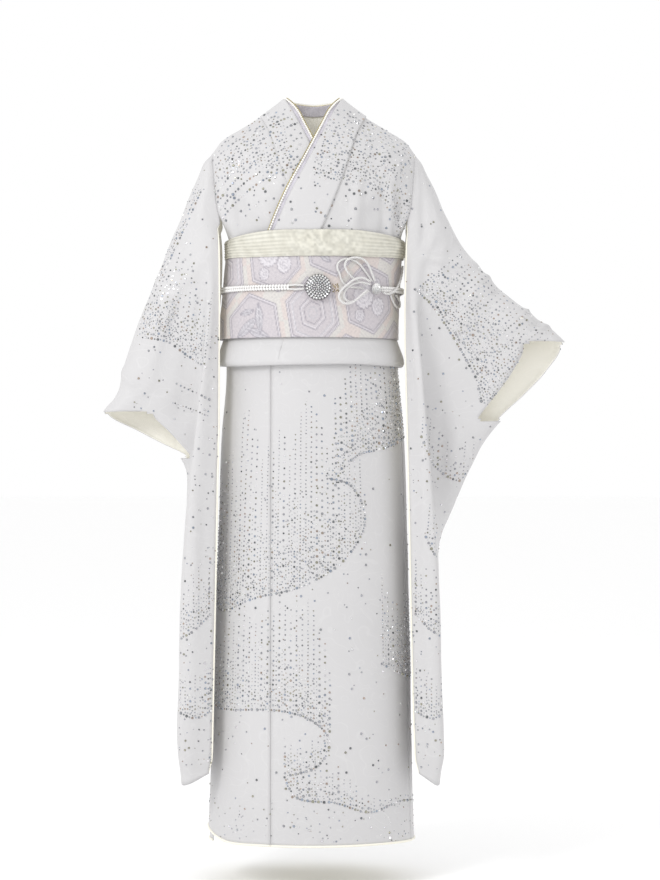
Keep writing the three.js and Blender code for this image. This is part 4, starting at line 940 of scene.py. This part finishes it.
skirt = Spread()
skirt.strings(
    [(-330, 470), (-215, 425), (-120, 452), (-20, 474), (70, 520), (118, 590), (88, 652), (30, 668)],
    (0, 1), lambda u: 60 + 330 * math.sin(math.pi * min(u * 1.25, 1)) ** 0.8)
skirt.strings(
    [(52, 655), (96, 705), (170, 722), (260, 742), (350, 735), (470, 700), (560, 690)],
    (0, 1), lambda u: 172 + 14 * math.sin(9 * u), grow=1.2)
skirt.strings([(-560, 640), (-500, 560), (-420, 520), (-330, 470)], (0, 1), lambda u: 220 - 60 * u)
skirt.strings(
    [(-300, 262), (-200, 246), (-90, 250), (-10, 236), (36, 196), (10, 150), (-56, 132)],
    (0, 1), lambda u: 50 + 210 * math.sin(math.pi * min(u * 1.1, 1)))
skirt.strings(
    [(-60, 130), (-30, 92), (50, 84), (120, 64), (200, 78), (330, 60), (470, 90)],
    (0, 1), lambda u: 60 + 50 * math.sin(7 * u + 1))
skirt.strings([(150, 330), (240, 300), (340, 322), (440, 296), (560, 330)], (0, 1), lambda u: 180 - 60 * u)
skirt.scatter((-560, 10, 560, 860), 900, chance=lambda x, z: 0.85 if z < 640 else 0.15)
skirt.scatter((-560, 5, 560, 90), 260, (1.8, 2.4, 3))
SKIRT = ["left_front", "right_front", "left_overlap", "right_overlap", "left_back", "right_back"]
sew_on("crystals_skirt", *cast(surface(SKIRT), skirt.thinned(), round_body))

front, back = Spread(), Spread()
front.strings([(4, 1212), (40, 1200), (80, 1206), (118, 1176), (148, 1130), (170, 1090)],
              (0.2, 1), lambda u: 128 - 10 * u, 11, 1.6, edged=False)
front.strings([(-38, 1250), (-84, 1226), (-130, 1232), (-176, 1200)],
              (-0.2, 1), lambda u: 80, 13, 1.2, edged=False)
for drop in range(0, 120, 20):
    arc = [(-40, 1330 - drop), (-90, 1306 - drop), (-140, 1270 - drop), (-186, 1216 - drop)]
    front.along(arc, 14, 5.2, 3.6)
front.scatter((-185, 1120, -20, 1345), 900, (3, 3.8, 4.6, 5.4),
              lambda x, z: 0.95 if z > 1206 - 0.15 * x - 14 * math.sin(x / 19) else 0.16)
front.scatter((0, 1095, 182, 1345), 1500, (3, 3.8, 4.6, 5.4),
              lambda x, z: 0.95 if z + 0.35 * x > 1216 + 12 * math.sin(x / 17) else 0.1)
back.strings([(-180, 1180), (-90, 1160), (0, 1190), (90, 1172), (180, 1190)], (0, 1), lambda u: 100, 12)
back.scatter((-185, 1095, 185, 1340), 520, (2.6, 3.4, 4.4), lambda x, z: 0.6)
sew_on_both("crystals_bodice", surface(["left_body", "right_body", "collar"]), front, back)


def sleeve_spread(side, long):
    """One face of a sleeve; side is 1 on the wearer's left and -1 on the right, long is its reach."""
    spread = Spread()
    if side > 0:
        spread.strings([(186, 1010), (215, 985), (250, 935), (282, 880), (300, 845), (310, 800)],
                       (0.62, 0.5), lambda u: 135 + 60 * u, 10, 1.6, grow=1.1)
        spread.strings([(196, 742), (222, 690), (262, 662), (300, 668)], (0.05, 1), lambda u: 74, 16, 0.4)
        spread.strings([(205, 560), (228, 522), (262, 540)], (0.1, 1), lambda u: 76, 10)
    else:
        spread.strings([(-196, 868), (-232, 892), (-268, 916), (-322, 925)],
                       (0.1, 1), lambda u: 175 - 95 * u, 10, 2.2)
        spread.strings([(-206, 1190), (-232, 1132), (-262, 1070), (-290, 1010)],
                       (-0.3, 0.5), lambda u: 44, 8, 2)
        spread.strings([(-258, 930), (-290, 940), (-318, 948)], (0.28, 1), lambda u: 150, 8, 2)
        spread.along([(-188, 810), (-222, 826), (-256, 842)], 8)
        spread.along([(-196, 782), (-232, 796), (-262, 806)], 10, 3.2, 2)
    spread.strings([(side * 186, 420), (side * 214, 392), (side * 246, 372)], (0, 1), lambda u: 110, 9)
    spread.strings([(side * 186, 244), (side * 216, 232), (side * 250, 250)], (0, 1), lambda u: 90, 9)
    inner, outer = sorted((side * 170, side * long))
    spread.scatter((inner, 140, outer, 1262), 1300, (1.9, 2.6, 3.4, 4.4),
                   lambda x, z: 0.35 if z > 820 else 0.55 if z > 560 else 0.95)
    return spread


for name, side, long in (("left_sleeve", 1, 480), ("right_sleeve", -1, 400)):
    sew_on_both("crystals_" + name, surface([name]), sleeve_spread(side, long), sleeve_spread(side, long))

# ---- Collar edging with its pearls -------------------------------------------------------------------------


def coloured(m, colour, tint_and_painted_shade):
    """Links a colour to the shader, multiplied where asked by the colour the piece's points carry: painted
    shade on the braid and cords, painted shade and a warm tint on the scarf.
    """
    if tint_and_painted_shade:
        colour = m.mix(colour, m.tint(), 1.0, "MULTIPLY")
    m.link(colour, m.shader.inputs["Base Color"])


def plain_silk(name, dark, light, roughness=0.5, grain=0.0011, tint_and_painted_shade=False):
    """Silk without a damask: cloudy between two shades, with a weave of the given grain in metres."""
    m = Nodes(name, light, roughness)
    cloud = m.noise(m.uv(), 60.0, 4.0)
    coloured(m, m.ramp(cloud.outputs["Fac"], [(0.35, dark), (0.65, light)]), tint_and_painted_shade)
    m.shader.inputs["Sheen Weight"].default_value = 0.15
    m.bump(m.weave(grain), 0.0002, 0.5)
    return m.material


def speckled(name, dark, light, roughness, metallic=0.0, scale=700.0, coat=0.0, tint_and_painted_shade=False):
    """A hard or corded finish without a cloth grid: fine speckle in colour and bump."""
    m = Nodes(name, light, roughness, metallic)
    grain = m.noise(m.solid(), scale, 3.0)
    coloured(m, m.ramp(grain.outputs["Fac"], [(0.35, dark), (0.65, light)]), tint_and_painted_shade)
    m.shader.inputs["Coat Weight"].default_value = coat
    m.bump(grain.outputs["Fac"], 0.0002, 0.3)
    return m.material


EDGE_SILK = plain_silk("edging_silk", (0.52, 0.5, 0.55), (0.64, 0.62, 0.68))
PEARL = speckled("pearl", (0.88, 0.86, 0.8), (0.97, 0.95, 0.9), 0.18, 0.0, 300.0, 0.7)
GOLD = speckled("gold_thread", (0.34, 0.28, 0.08), (0.6, 0.5, 0.2), 0.35, 0.8, 1500.0)
# The braid's colour is multiplied by the painted shade that its pieces' points carry.
BRAID = speckled("white_braid", (0.8, 0.785, 0.775), (0.93, 0.92, 0.91), 0.5, 0.0, 900.0, tint_and_painted_shade=True)


def circle(count):
    """The cosine and sine of the angles of evenly spaced points round a circle."""
    turns = [2 * math.pi * j / count for j in range(count)]
    return [(math.cos(a), math.sin(a)) for a in turns]


def ball(sides, rings):
    """A unit ball: points and faces."""
    points = [(0, 0, 1)]
    for i in range(1, rings):
        a = math.pi * i / rings
        points += [(math.sin(a) * c, math.sin(a) * s, math.cos(a)) for c, s in circle(sides)]
    points.append((0, 0, -1))
    faces = [(0, 1 + j, 1 + (j + 1) % sides) for j in range(sides)]
    for i in range(rings - 2):
        o = 1 + i * sides
        p = o + sides
        faces += [(o + j, p + j, p + (j + 1) % sides, o + (j + 1) % sides) for j in range(sides)]
    o = 1 + (rings - 2) * sides
    faces += [(o + j, len(points) - 1, o + (j + 1) % sides) for j in range(sides)]
    return np.array(points), faces


def lumps(name, centres, axes, material, sides, rings, painted_hollow_shade=False):
    """Many stretched balls in one mesh; axes holds three vectors for each. The third points outward. Where
    asked for, each ball is painted darker towards its sides: painted shade for the hollows between the balls."""
    unit, faces = ball(sides, rings)
    points = np.concatenate([c + unit @ np.array(m) for c, m in zip(centres, axes)])
    joined = [tuple(v + k * len(unit) for v in f) for k in range(len(centres)) for f in faces]
    # Painted shade: each ball's points are darker towards its sides, where the hollows between the lumps
    # fall.
    shade = 0.45 + 0.55 * np.clip((unit[:, 2] + 0.35) / 1.1, 0, 1)
    colours = np.tile(np.repeat(shade[:, None], 3, axis=1), (len(centres), 1)) if painted_hollow_shade else None
    return piece_from(name, points, joined, material, colours, smooth=True)


def even_path(path, pitch):
    """Points at even distances along a path, and their directions."""
    path = np.asarray(path)
    lengths = lengths_along(path)
    at = np.linspace(0, lengths[-1], max(2, int(lengths[-1] / pitch) + 1))
    points = np.stack([np.interp(at, lengths, path[:, i]) for i in range(3)], axis=1)
    along = np.gradient(points, axis=0)
    return points, unit(along)


def tube(name, path, radius, material, pitch, sides, ridges=0, twist=6 * MM, lift=0.07, taper=0):
    """A round cord along a path, with twisted ridges where it is plied, and tapered ends if asked for. Where
    it is plied, its points carry painted shade, darker in the grooves between the plies.
    """
    points, along = even_path(path, pitch)
    n = len(points)
    up = np.array([0.13, -0.9, 0.42])  # no path here runs along this
    e1 = unit(np.cross(along, up))
    e2 = np.cross(along, e1)
    angle = np.arange(sides) * 2 * math.pi / sides
    phase = 2 * math.pi * np.arange(n)[:, None] * pitch / twist
    ends = np.minimum(np.arange(n), np.arange(n)[::-1]) * pitch
    if taper:
        radius = radius * np.sqrt(np.clip(ends / taper, 0.02, 1))[:, None]
    ridge = np.cos(ridges * angle[None] - phase) if ridges else np.zeros((n, sides))
    round_it = np.cos(angle)[None, :, None] * e1[:, None] + np.sin(angle)[None, :, None] * e2[:, None]
    ring = points[:, None] + (radius * (1 + lift * ridge))[..., None] * round_it
    faces = []
    for i in range(n - 1):
        for j in range(sides):
            q = (j + 1) % sides
            faces.append((i * sides + j, (i + 1) * sides + j, (i + 1) * sides + q, i * sides + q))
    faces.append(tuple(range(sides)))
    faces.append(tuple((n - 1) * sides + j for j in reversed(range(sides))))
    # Painted shade: the points in the grooves between the plies are painted darker.
    painted_groove_shade = ridge if ridges else 1 + ridge
    shade = np.repeat((0.78 + 0.22 * painted_groove_shade).reshape(-1, 1), 3, axis=1)
    return piece_from(name, ring.reshape(-1, 3), faces, material, shade, smooth=True)


edging = sheets["collar_edging"] = Sheet("collar_edging", 5 * MM, EDGING, 2 * MM)
edging.build([EDGE_SILK], 1.0 * MM)
collar_tree = surface(["collar"])
reach = [np.mean([collar_tree.find_nearest(Vector(p))[3] for p in edging.points[::4, k]]) for k in (0, -1)]
free, inward = (0, 1) if reach[0] > reach[1] else (-1, -2)
edge = edging.points[:, free]
across = unit(edging.points[:, inward] - edge)
lifted = edging.normals()[:, free]
tube("edging_gold", edge + lifted * 0.2 * MM, 0.75 * MM, GOLD, 2 * MM, 6)
pearl_line, _ = even_path(edge + across * 3.4 * MM + lifted * 1.7 * MM, 4.7 * MM)
lumps("edging_pearls", pearl_line, [np.eye(3) * 2.15 * MM] * len(pearl_line), PEARL, 10, 6)

# ---- Sash, its bow and scarf -------------------------------------------------------------------------------

LILAC = np.array([0.62, 0.58, 0.605])
LINE = np.array([0.34, 0.315, 0.36])
PEACH = np.array([0.71, 0.635, 0.605])
CREAM = np.array([0.7, 0.675, 0.645])
PALE = np.array([0.76, 0.73, 0.76])
MIST = np.array([0.53, 0.52, 0.555])
DIMMED = 0.93
FIGURE = 0.25 * MM  # how far the brocade's figure stands up
# In a cell, in millimetres: each flower's middle, size and petals; each leaf's middle, size and turn.
FLOWERS = [(-12, 8, 25, 16), (20, -18, 17, 12), (22, 24, 11, 10), (-28, -26, 12, 12)]
LEAVES = [(-14, 4, 30, 0.5), (10, -12, 26, -0.5), (16, 16, 28, 1.5), (-22, -24, 20, 2.4), (-10, 32, 18, 0)]


def near(distance, width):
    """1 on a drawn line, fading to 0 beyond its width."""
    return np.clip(1.4 - np.abs(distance) / width, 0, 1)


def mixed(base, tint, share):
    """The base colours with the tint laid over them by its share."""
    return base * (1 - share[..., None]) + tint * share[..., None]


def brocade(s, h, turn=0.2, cell=136.0):
    """Tortoiseshell cells with bands between them, filled with nested outlines, chrysanthemums or leaves.
    s and h are in millimetres. Gives the colours and how far the figure stands up, from 0 to 1."""
    x = s * math.cos(turn) + h * math.sin(turn)
    y = -s * math.sin(turn) + h * math.cos(turn)
    q, r = (x / cell - y / (cell * math.sqrt(3))), 2 * y / (cell * math.sqrt(3))
    k = np.round(np.stack([q, r, -q - r]))
    error = np.abs(k - np.stack([q, r, -q - r]))
    worst = error.argmax(0)
    k[0] = np.where(worst == 0, -k[1] - k[2], k[0])
    k[1] = np.where(worst == 1, -k[0] - k[2], k[1])
    u, v = x - cell * (k[0] + k[1] / 2), y - cell * math.sqrt(3) / 2 * k[1]
    hexagon = np.maximum(np.abs(u), np.abs(u) / 2 + np.abs(v) * math.sqrt(3) / 2) / (cell / 2)
    kind = (k[0] + 2 * k[1]) % 3
    colour = np.broadcast_to(LILAC, (*x.shape, 3)).copy()
    rise = np.zeros(x.shape)
    band = np.clip((hexagon - 0.83) * 30, 0, 1)
    side = (np.floor((np.arctan2(v, u) + math.pi) / (math.pi / 3)) + k[0]) % 2
    colour = mixed(colour, np.where(side[..., None] > 0, PEACH, CREAM), band)
    for at, tint in ((0.83, LINE), (0.8, PALE), (0.76, LINE)):
        share = near(hexagon - at, 0.016)
        colour, rise = mixed(colour, tint, share * 0.85), np.maximum(rise, share)
    nested = kind == 0
    for at, tint in ((0.66, PALE), (0.63, MIST), (0.4, LINE), (0.36, PALE), (0.27, LINE), (0.14, MIST)):
        share = near(hexagon - at, 0.015) * nested
        colour, rise = mixed(colour, tint, share * 0.9), np.maximum(rise, share)
    for cx, cy, size, petals in FLOWERS:
        d, a = np.hypot(u - cx, v - cy), np.arctan2(v - cy, u - cx)
        petal = np.abs(np.sin(a * petals / 2))
        outline = size * (0.86 + 0.14 * petal)
        inside = (d < outline) & (kind == 1)
        colour = mixed(colour, PALE, inside * 0.9)
        ribs = np.clip(1.3 - petal * d / 2.2, 0, 1) * (d > size * 0.22) * inside
        rings = sum(near(d - size * f, 0.9) for f in (0.2, 0.55)) * inside
        rim = near(d - outline, 1.1) * (kind == 1)
        share = np.clip(np.maximum(np.maximum(ribs * 0.6, rings * 0.6), rim), 0, 1)
        colour, rise = mixed(colour, LINE, share * 0.8), np.maximum(rise, share)
    for cx, cy, size, lean in LEAVES:
        du, dv = u - cx, v - cy
        lu, lv = du * math.cos(lean) + dv * math.sin(lean), -du * math.sin(lean) + dv * math.cos(lean)
        width = size * 0.3 * np.clip(1 - (lu / size) ** 2, 0, 1)
        inside = (np.abs(lv) < width) & (kind == 2)
        colour = mixed(colour, MIST, inside * 0.8)
        veins = near(np.mod(lu - np.abs(lv) * 1.3, 5.5) - 2.7, 0.7) * inside
        outline = near(np.abs(lv) - width, 1.0) * (width > 0.4) * (kind == 2)
        share = np.clip(np.maximum(near(lv, 0.9) * inside, outline), 0, 1)
        colour = mixed(mixed(colour, PALE, veins * 0.7), LINE, share * 0.8)
        rise = np.maximum(rise, share)
    threads = 1 + 0.035 * np.sin(h * 2.1) * np.sin(s * 0.7)
    return DIMMED * colour * threads[..., None], np.clip(rise, 0, 1)


def brocade_finish():
    """Woven silk with a slanting twill, in the colours that its points carry."""
    m = Nodes("brocade", tuple(LILAC), 0.5)
    cloud = m.noise(m.uv(), 240.0, 4.0)
    worn = m.ramp(cloud.outputs["Fac"], [(0.3, (0.84, 0.84, 0.86)), (0.62, (1, 1, 1))])
    m.link(m.mix(m.tint(), worn, 0.9, "MULTIPLY"), m.shader.inputs["Base Color"])
    m.shader.inputs["Sheen Weight"].default_value = 0.2
    m.shader.inputs["Sheen Roughness"].default_value = 0.35
    m.bump(m.weave(0.0014, m.uv(0.6)), 0.0004, 0.6)
    return m.material


BROCADE = brocade_finish()
sash = sheets["sash"] = Sheet("sash", 2.3 * MM, SASH)
angle = np.arctan2(sash.points[..., 0], -(sash.points[..., 1] - 0.0025))
tints, rise = brocade(angle * BODY_RADIUS, (sash.points[..., 2] - HEM) / MM - 965)
crumple = value_noise(sash.points * (1, 1, 0.6), 0.09, 81) * 1.4 * MM
crumple = crumple + value_noise(sash.points * (0.5, 0.5, 2.2), 0.05, 82) * 0.5 * MM
sash.push((crumple * 0.6 + FIGURE * rise) * sash.margin(10 * MM) - 0.2 * MM)
sash.build([BROCADE], 1.2 * MM, tints)

for name, seed in (("sash_drum", 5), ("sash_tail", 6)):
    sheet = sheets[name] = Sheet(name, 3 * MM, SASH)
    down = -sheet.t[:, None] / MM + 0 * sheet.s[None] + 40 * seed
    tints, rise = brocade(sheet.points[..., 0] / MM, down, 0.12)
    soft = value_noise(sheet.points, 0.1, 90 + seed) * 1.5 * MM
    sheet.push((soft + FIGURE * rise) * sheet.margin(12 * MM) - 0.25 * MM)
    sheet.build([BROCADE], 2.0 * MM, tints)

# Its colour is multiplied by the warm tint and painted shade that the scarf's points carry.
SCARF_SILK = plain_silk("scarf_silk", (0.685, 0.675, 0.61), (0.78, 0.775, 0.715), 0.7, 0.0012, tint_and_painted_shade=True)
scarf = sheets["scarf"] = Sheet("scarf", 1.75 * MM, CLOTH)
middle = np.exp(-(((scarf.points[..., 0] - 0.02) / 0.075) ** 4)) * (scarf.points[..., 1] < 0)
smocked = value_noise(scarf.points, 0.0042, 101) * 0.9 + value_noise(scarf.points, 0.0075, 102) * 0.7
drift = value_noise(scarf.points * (1, 1, 0.2), 0.05, 103) * 1.6
pleats = np.sin(scarf.t[:, None] / MM * 2 * math.pi / 5.2 + drift)
grain = value_noise(scarf.points, 0.005, 104) * 0.3
relief = middle * smocked + (1 - middle) * (pleats * 0.8 + grain)
soft = value_noise(scarf.points * (1, 1, 0.5), 0.06, 105) * 1.2
scarf.push((relief * 1.1 + soft * 0.7) * MM * (0.25 + 0.75 * scarf.margin(5 * MM)) - 0.3 * MM)
# Painted shade: the scarf's points are painted darker where its relief sinks, in the hollows of the smocking
# and pleats, with a slight warm tint over all.
tints = np.repeat(np.clip(0.86 + 0.16 * relief, 0.55, 1)[..., None], 3, axis=2) * (1, 0.985, 0.95)
scarf.build([SCARF_SILK], 1.4 * MM, tints)

# ---- Sash cord, knot and brooch ----------------------------------------------------------------------------


def centre_line(name):
    """The middle of a CAD cord, ring by ring from one of its flat ends."""
    bm = bmesh.new()
    bm.from_mesh(frame["nodes"][name].data)
    bmesh.ops.remove_doubles(bm, verts=bm.verts, dist=1e-6)
    start = None
    for face in bm.faces:
        group, stack = {face}, [face]
        while stack:
            f = stack.pop()
            for e in f.edges:
                for other in e.link_faces:
                    if other not in group and other.normal.dot(face.normal) > 0.99999 and len(group) < 9:
                        group.add(other)
                        stack.append(other)
        corners = {v for f in group for v in f.verts}
        if len(group) == 4 and len(corners) == 6:
            start = corners
            break
    ring, seen, middles = start, set(start), []
    while ring:
        middles.append(np.mean([v.co for v in ring], axis=0))
        ring = {e.other_vert(v) for v in ring for e in v.link_edges} - seen
        seen |= ring
    bm.free()
    return np.array(middles)


def rounded(path, pitch=1.5 * MM):
    """A smooth curve through the points of a path."""
    t = np.concatenate([[0], np.cumsum(np.linalg.norm(np.diff(path, axis=0), axis=1))])
    counts = [max(1, math.ceil(d / pitch)) for d in np.diff(t)]
    return finer(path, t, counts)[0]


def plait(name, path, wide, thick, pitch, node):
    """A flat herringbone plait: two rows of leaning lumps along a path."""
    points, along = even_path(path, pitch)
    away = points - np.array([0, 0.003, 0])
    away[:, 2] = 0
    away = unit(away - along * np.sum(away * along, axis=1, keepdims=True))
    flat = np.cross(along, away)
    centres, axes = [], []
    for p, d, a, f in zip(points, along, away, flat):
        for side in (-1, 1):
            lean = d * math.cos(0.75) + f * side * math.sin(0.75)
            other = np.cross(lean, a)
            centres.append(p + f * side * wide * 0.22)
            axes.append([lean * wide * 0.34, other * pitch * 0.5, a * thick * 0.5])
    piece = lumps(name, centres, axes, BRAID, 8, 7, painted_hollow_shade=True)
    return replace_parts(piece, node)


BRAID_SIZE = {"wide": 11.2 * MM, "thick": 6.2 * MM, "pitch": 5.6 * MM}
CORD_RADIUS = 1.95 * MM
plait("cord_braid", rounded(centre_line("sash_cord")), node="sash_cord", **BRAID_SIZE)
CORDS = [f"cord_loop_{k}" for k in (1, 2, 3, 4)] + ["cord_arc", "cord_end", "cord_split_1", "cord_split_2"]
for name in CORDS:
    piece = tube(name + "_plied", rounded(centre_line(name)), CORD_RADIUS, BRAID, 0.8 * MM, 12,
                 ridges=4, twist=9 * MM, lift=0.1)
    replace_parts(piece, name)

low, high = (np.array(p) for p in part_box("cord_knot"))
centre = (low + high) / 2
KNOT = (8.9, 8.2, 10.4)  # its half sizes in millimetres: sideways, outward and up
lean = np.array([0.42, -0.9, 0.0]) / np.linalg.norm([0.42, -0.9])
sideways = np.array([-lean[1], lean[0], 0])
up = np.array([0, 0, KNOT[2]])
binding = [sideways * KNOT[0] * MM, lean * KNOT[1] * MM, up * MM]
knot = lumps("cord_knot_binding", [centre], [binding], BRAID, 24, 16, painted_hollow_shade=True)
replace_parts(knot, "cord_knot")
places, normals = [], []
for i, height in enumerate(np.linspace(-0.82, 0.82, 7)):
    r = math.sqrt(1 - height**2)
    count = int(4 + 12 * r)
    for k in range(count):
        a = (k + 0.5 * (i % 2)) * 2 * math.pi / count
        out = sideways * math.cos(a) * r * KNOT[0] + lean * math.sin(a) * r * KNOT[1] + up * height
        places.append(centre + out * MM)
        normals.append(unit(out))
shades = np.full((len(places), 3), 0.86)
sew_on("cord_knot_crystals", places, normals, [1.25 * MM] * len(places), shades=shades)

low, high = (np.array(p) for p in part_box("brooch"))
centre = np.array([(low[0] + high[0]) / 2, high[1], (low[2] + high[2]) / 2])
# The brooch's dome: distance from its middle and height in millimetres.
DOME = [
    (20.0, 0), (23.0, 1.2), (23.4, 3.0), (22.6, 5.2), (20.4, 7.6), (16, 9.9), (10, 11.6), (4, 12.4),
    (0.01, 12.5),
]
points, faces = [], []
ROUND = 48
for r, h in DOME:
    points += [centre + np.array([r * c, -h, r * s]) * MM for c, s in circle(ROUND)]
for o in range(0, ROUND * (len(DOME) - 1), ROUND):
    p = o + ROUND
    faces += [(o + j, o + (j + 1) % ROUND, p + (j + 1) % ROUND, p + j) for j in range(ROUND)]
faces.append(tuple(reversed(range(ROUND))))
BACKING = speckled("brooch_back", (0.1, 0.1, 0.105), (0.22, 0.22, 0.23), 0.35, 0.8, 500.0)
dome = piece_from("brooch_dome", points, faces, BACKING, smooth=True)
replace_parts(dome, "brooch")
# Rings of crystals on the brooch: distance from its middle, count and radius in millimetres.
BROOCH_RINGS = [
    (0, 1, 2.6), (4.3, 7, 1.8), (8.0, 12, 1.95), (11.9, 16, 2.2), (16.2, 20, 2.4), (20.6, 24, 2.5),
]
places, normals, radii = [], [], []
radius_at, height_at = [r for r, _ in DOME[::-1]][:-1], [h for _, h in DOME[::-1]][:-1]
for ring, (r, count, size) in enumerate(BROOCH_RINGS):
    for k in range(count):
        a = 2 * math.pi * (k + ring * 0.5) / count
        h, ahead = np.interp([r, r + 1], radius_at, height_at)
        way = np.array([math.cos(a), 0, math.sin(a)])
        slope = np.array([0, -1, 0]) + way * (h - ahead)
        places.append(centre + (way * r + np.array([0, -h - 0.3, 0])) * MM)
        normals.append(unit(slope))
        radii.append(size * MM)
sew_on("brooch_crystals", places, normals, radii, shades=np.full((len(places), 3), 0.93), height=0.7)

bit_of_cord = Spread()
bit_of_cord.scatter((36, 1002, 47, 1017), 60, (2.2, 2.8, 3.2))
behind = ("cord_braid", "cord_loop_1_plied", "cord_loop_2_plied", "sash_cloth")
cords = [bpy.data.objects[name].data for name in behind]
places, normals, radii = cast(tree_of(cords), bit_of_cord.thinned(0.9), from_front)
golden = np.array([0.5, 0.4, 0.22]) * rng.uniform(0.6, 1.5, (len(places), 1))
sew_on("cord_bead_crystals", places, normals, radii, shades=golden, height=0.8)

# ---- Seams, the lining's edge and the hem ------------------------------------------------------------------

EDGE_LINING = plain_silk("lining_edge", (0.88, 0.85, 0.74), (0.93, 0.905, 0.81), 0.6)
for name in ("left_sleeve", "right_sleeve"):
    for order, column in enumerate((0, -1)):
        edge = sheets[name].points[:, column]
        edge = edge[edge[:, 2] < LINING_EDGE_TOP]
        tube(f"{name}_lining_edge_{order + 1}", edge, 1.6 * MM, EDGE_LINING, 4 * MM, 8,
             taper=50 * MM)
    armhole = armhole_of(sheets[name.replace("sleeve", "body")])
    armhole = armhole[armhole[:, 2] > SEAM_BOTTOM]
    armhole = armhole - np.sign(armhole[:, :1]) * (1.0 * MM, 0, 0)
    tube(name + "_armhole_seam", armhole, 1.2 * MM, SILK, 3 * MM, 8, taper=20 * MM)
for name in SKIRT:
    edge = sheets[name].points[-1] + (0, 0, 1.2 * MM)
    tube(name + "_hem", edge, 2.2 * MM, EDGE_LINING, 5 * MM, 8)

# The edge of the left tuck where it laps over the right one, cast on it from a few points of x and height.
LAP = [(-53, 917), (-56, 908), (-59, 898), (-61, 889), (-62, 882)]
tuck_tree = surface(["left_tuck"])
places = [tuck_tree.ray_cast(Vector((x * MM, -0.4, HEM + z * MM)), Vector((0, 1, 0)))[0] for x, z in LAP]
lap = rounded(np.array([p for p in places if p is not None]))
tube("tuck_overlap_edge", lap, 0.9 * MM, SILK, 2 * MM, 6)


FLOOR_REACH = 30


def add_floor():
    """A wide flat floor of a white studio."""
    corners = [(-1, -1), (1, -1), (1, 1), (-1, 1)]
    mesh = bpy.data.meshes.new("floor")
    mesh.from_pydata([(x * FLOOR_REACH, y * FLOOR_REACH, FLOOR_Z) for x, y in corners], [], [(0, 1, 2, 3)])
    floor = bpy.data.objects.new("floor", mesh)
    bpy.context.scene.collection.objects.link(floor)
    m = Nodes("floor", (0.985, 0.985, 0.985), 0.9)
    mesh.materials.append(m.material)


add_floor()
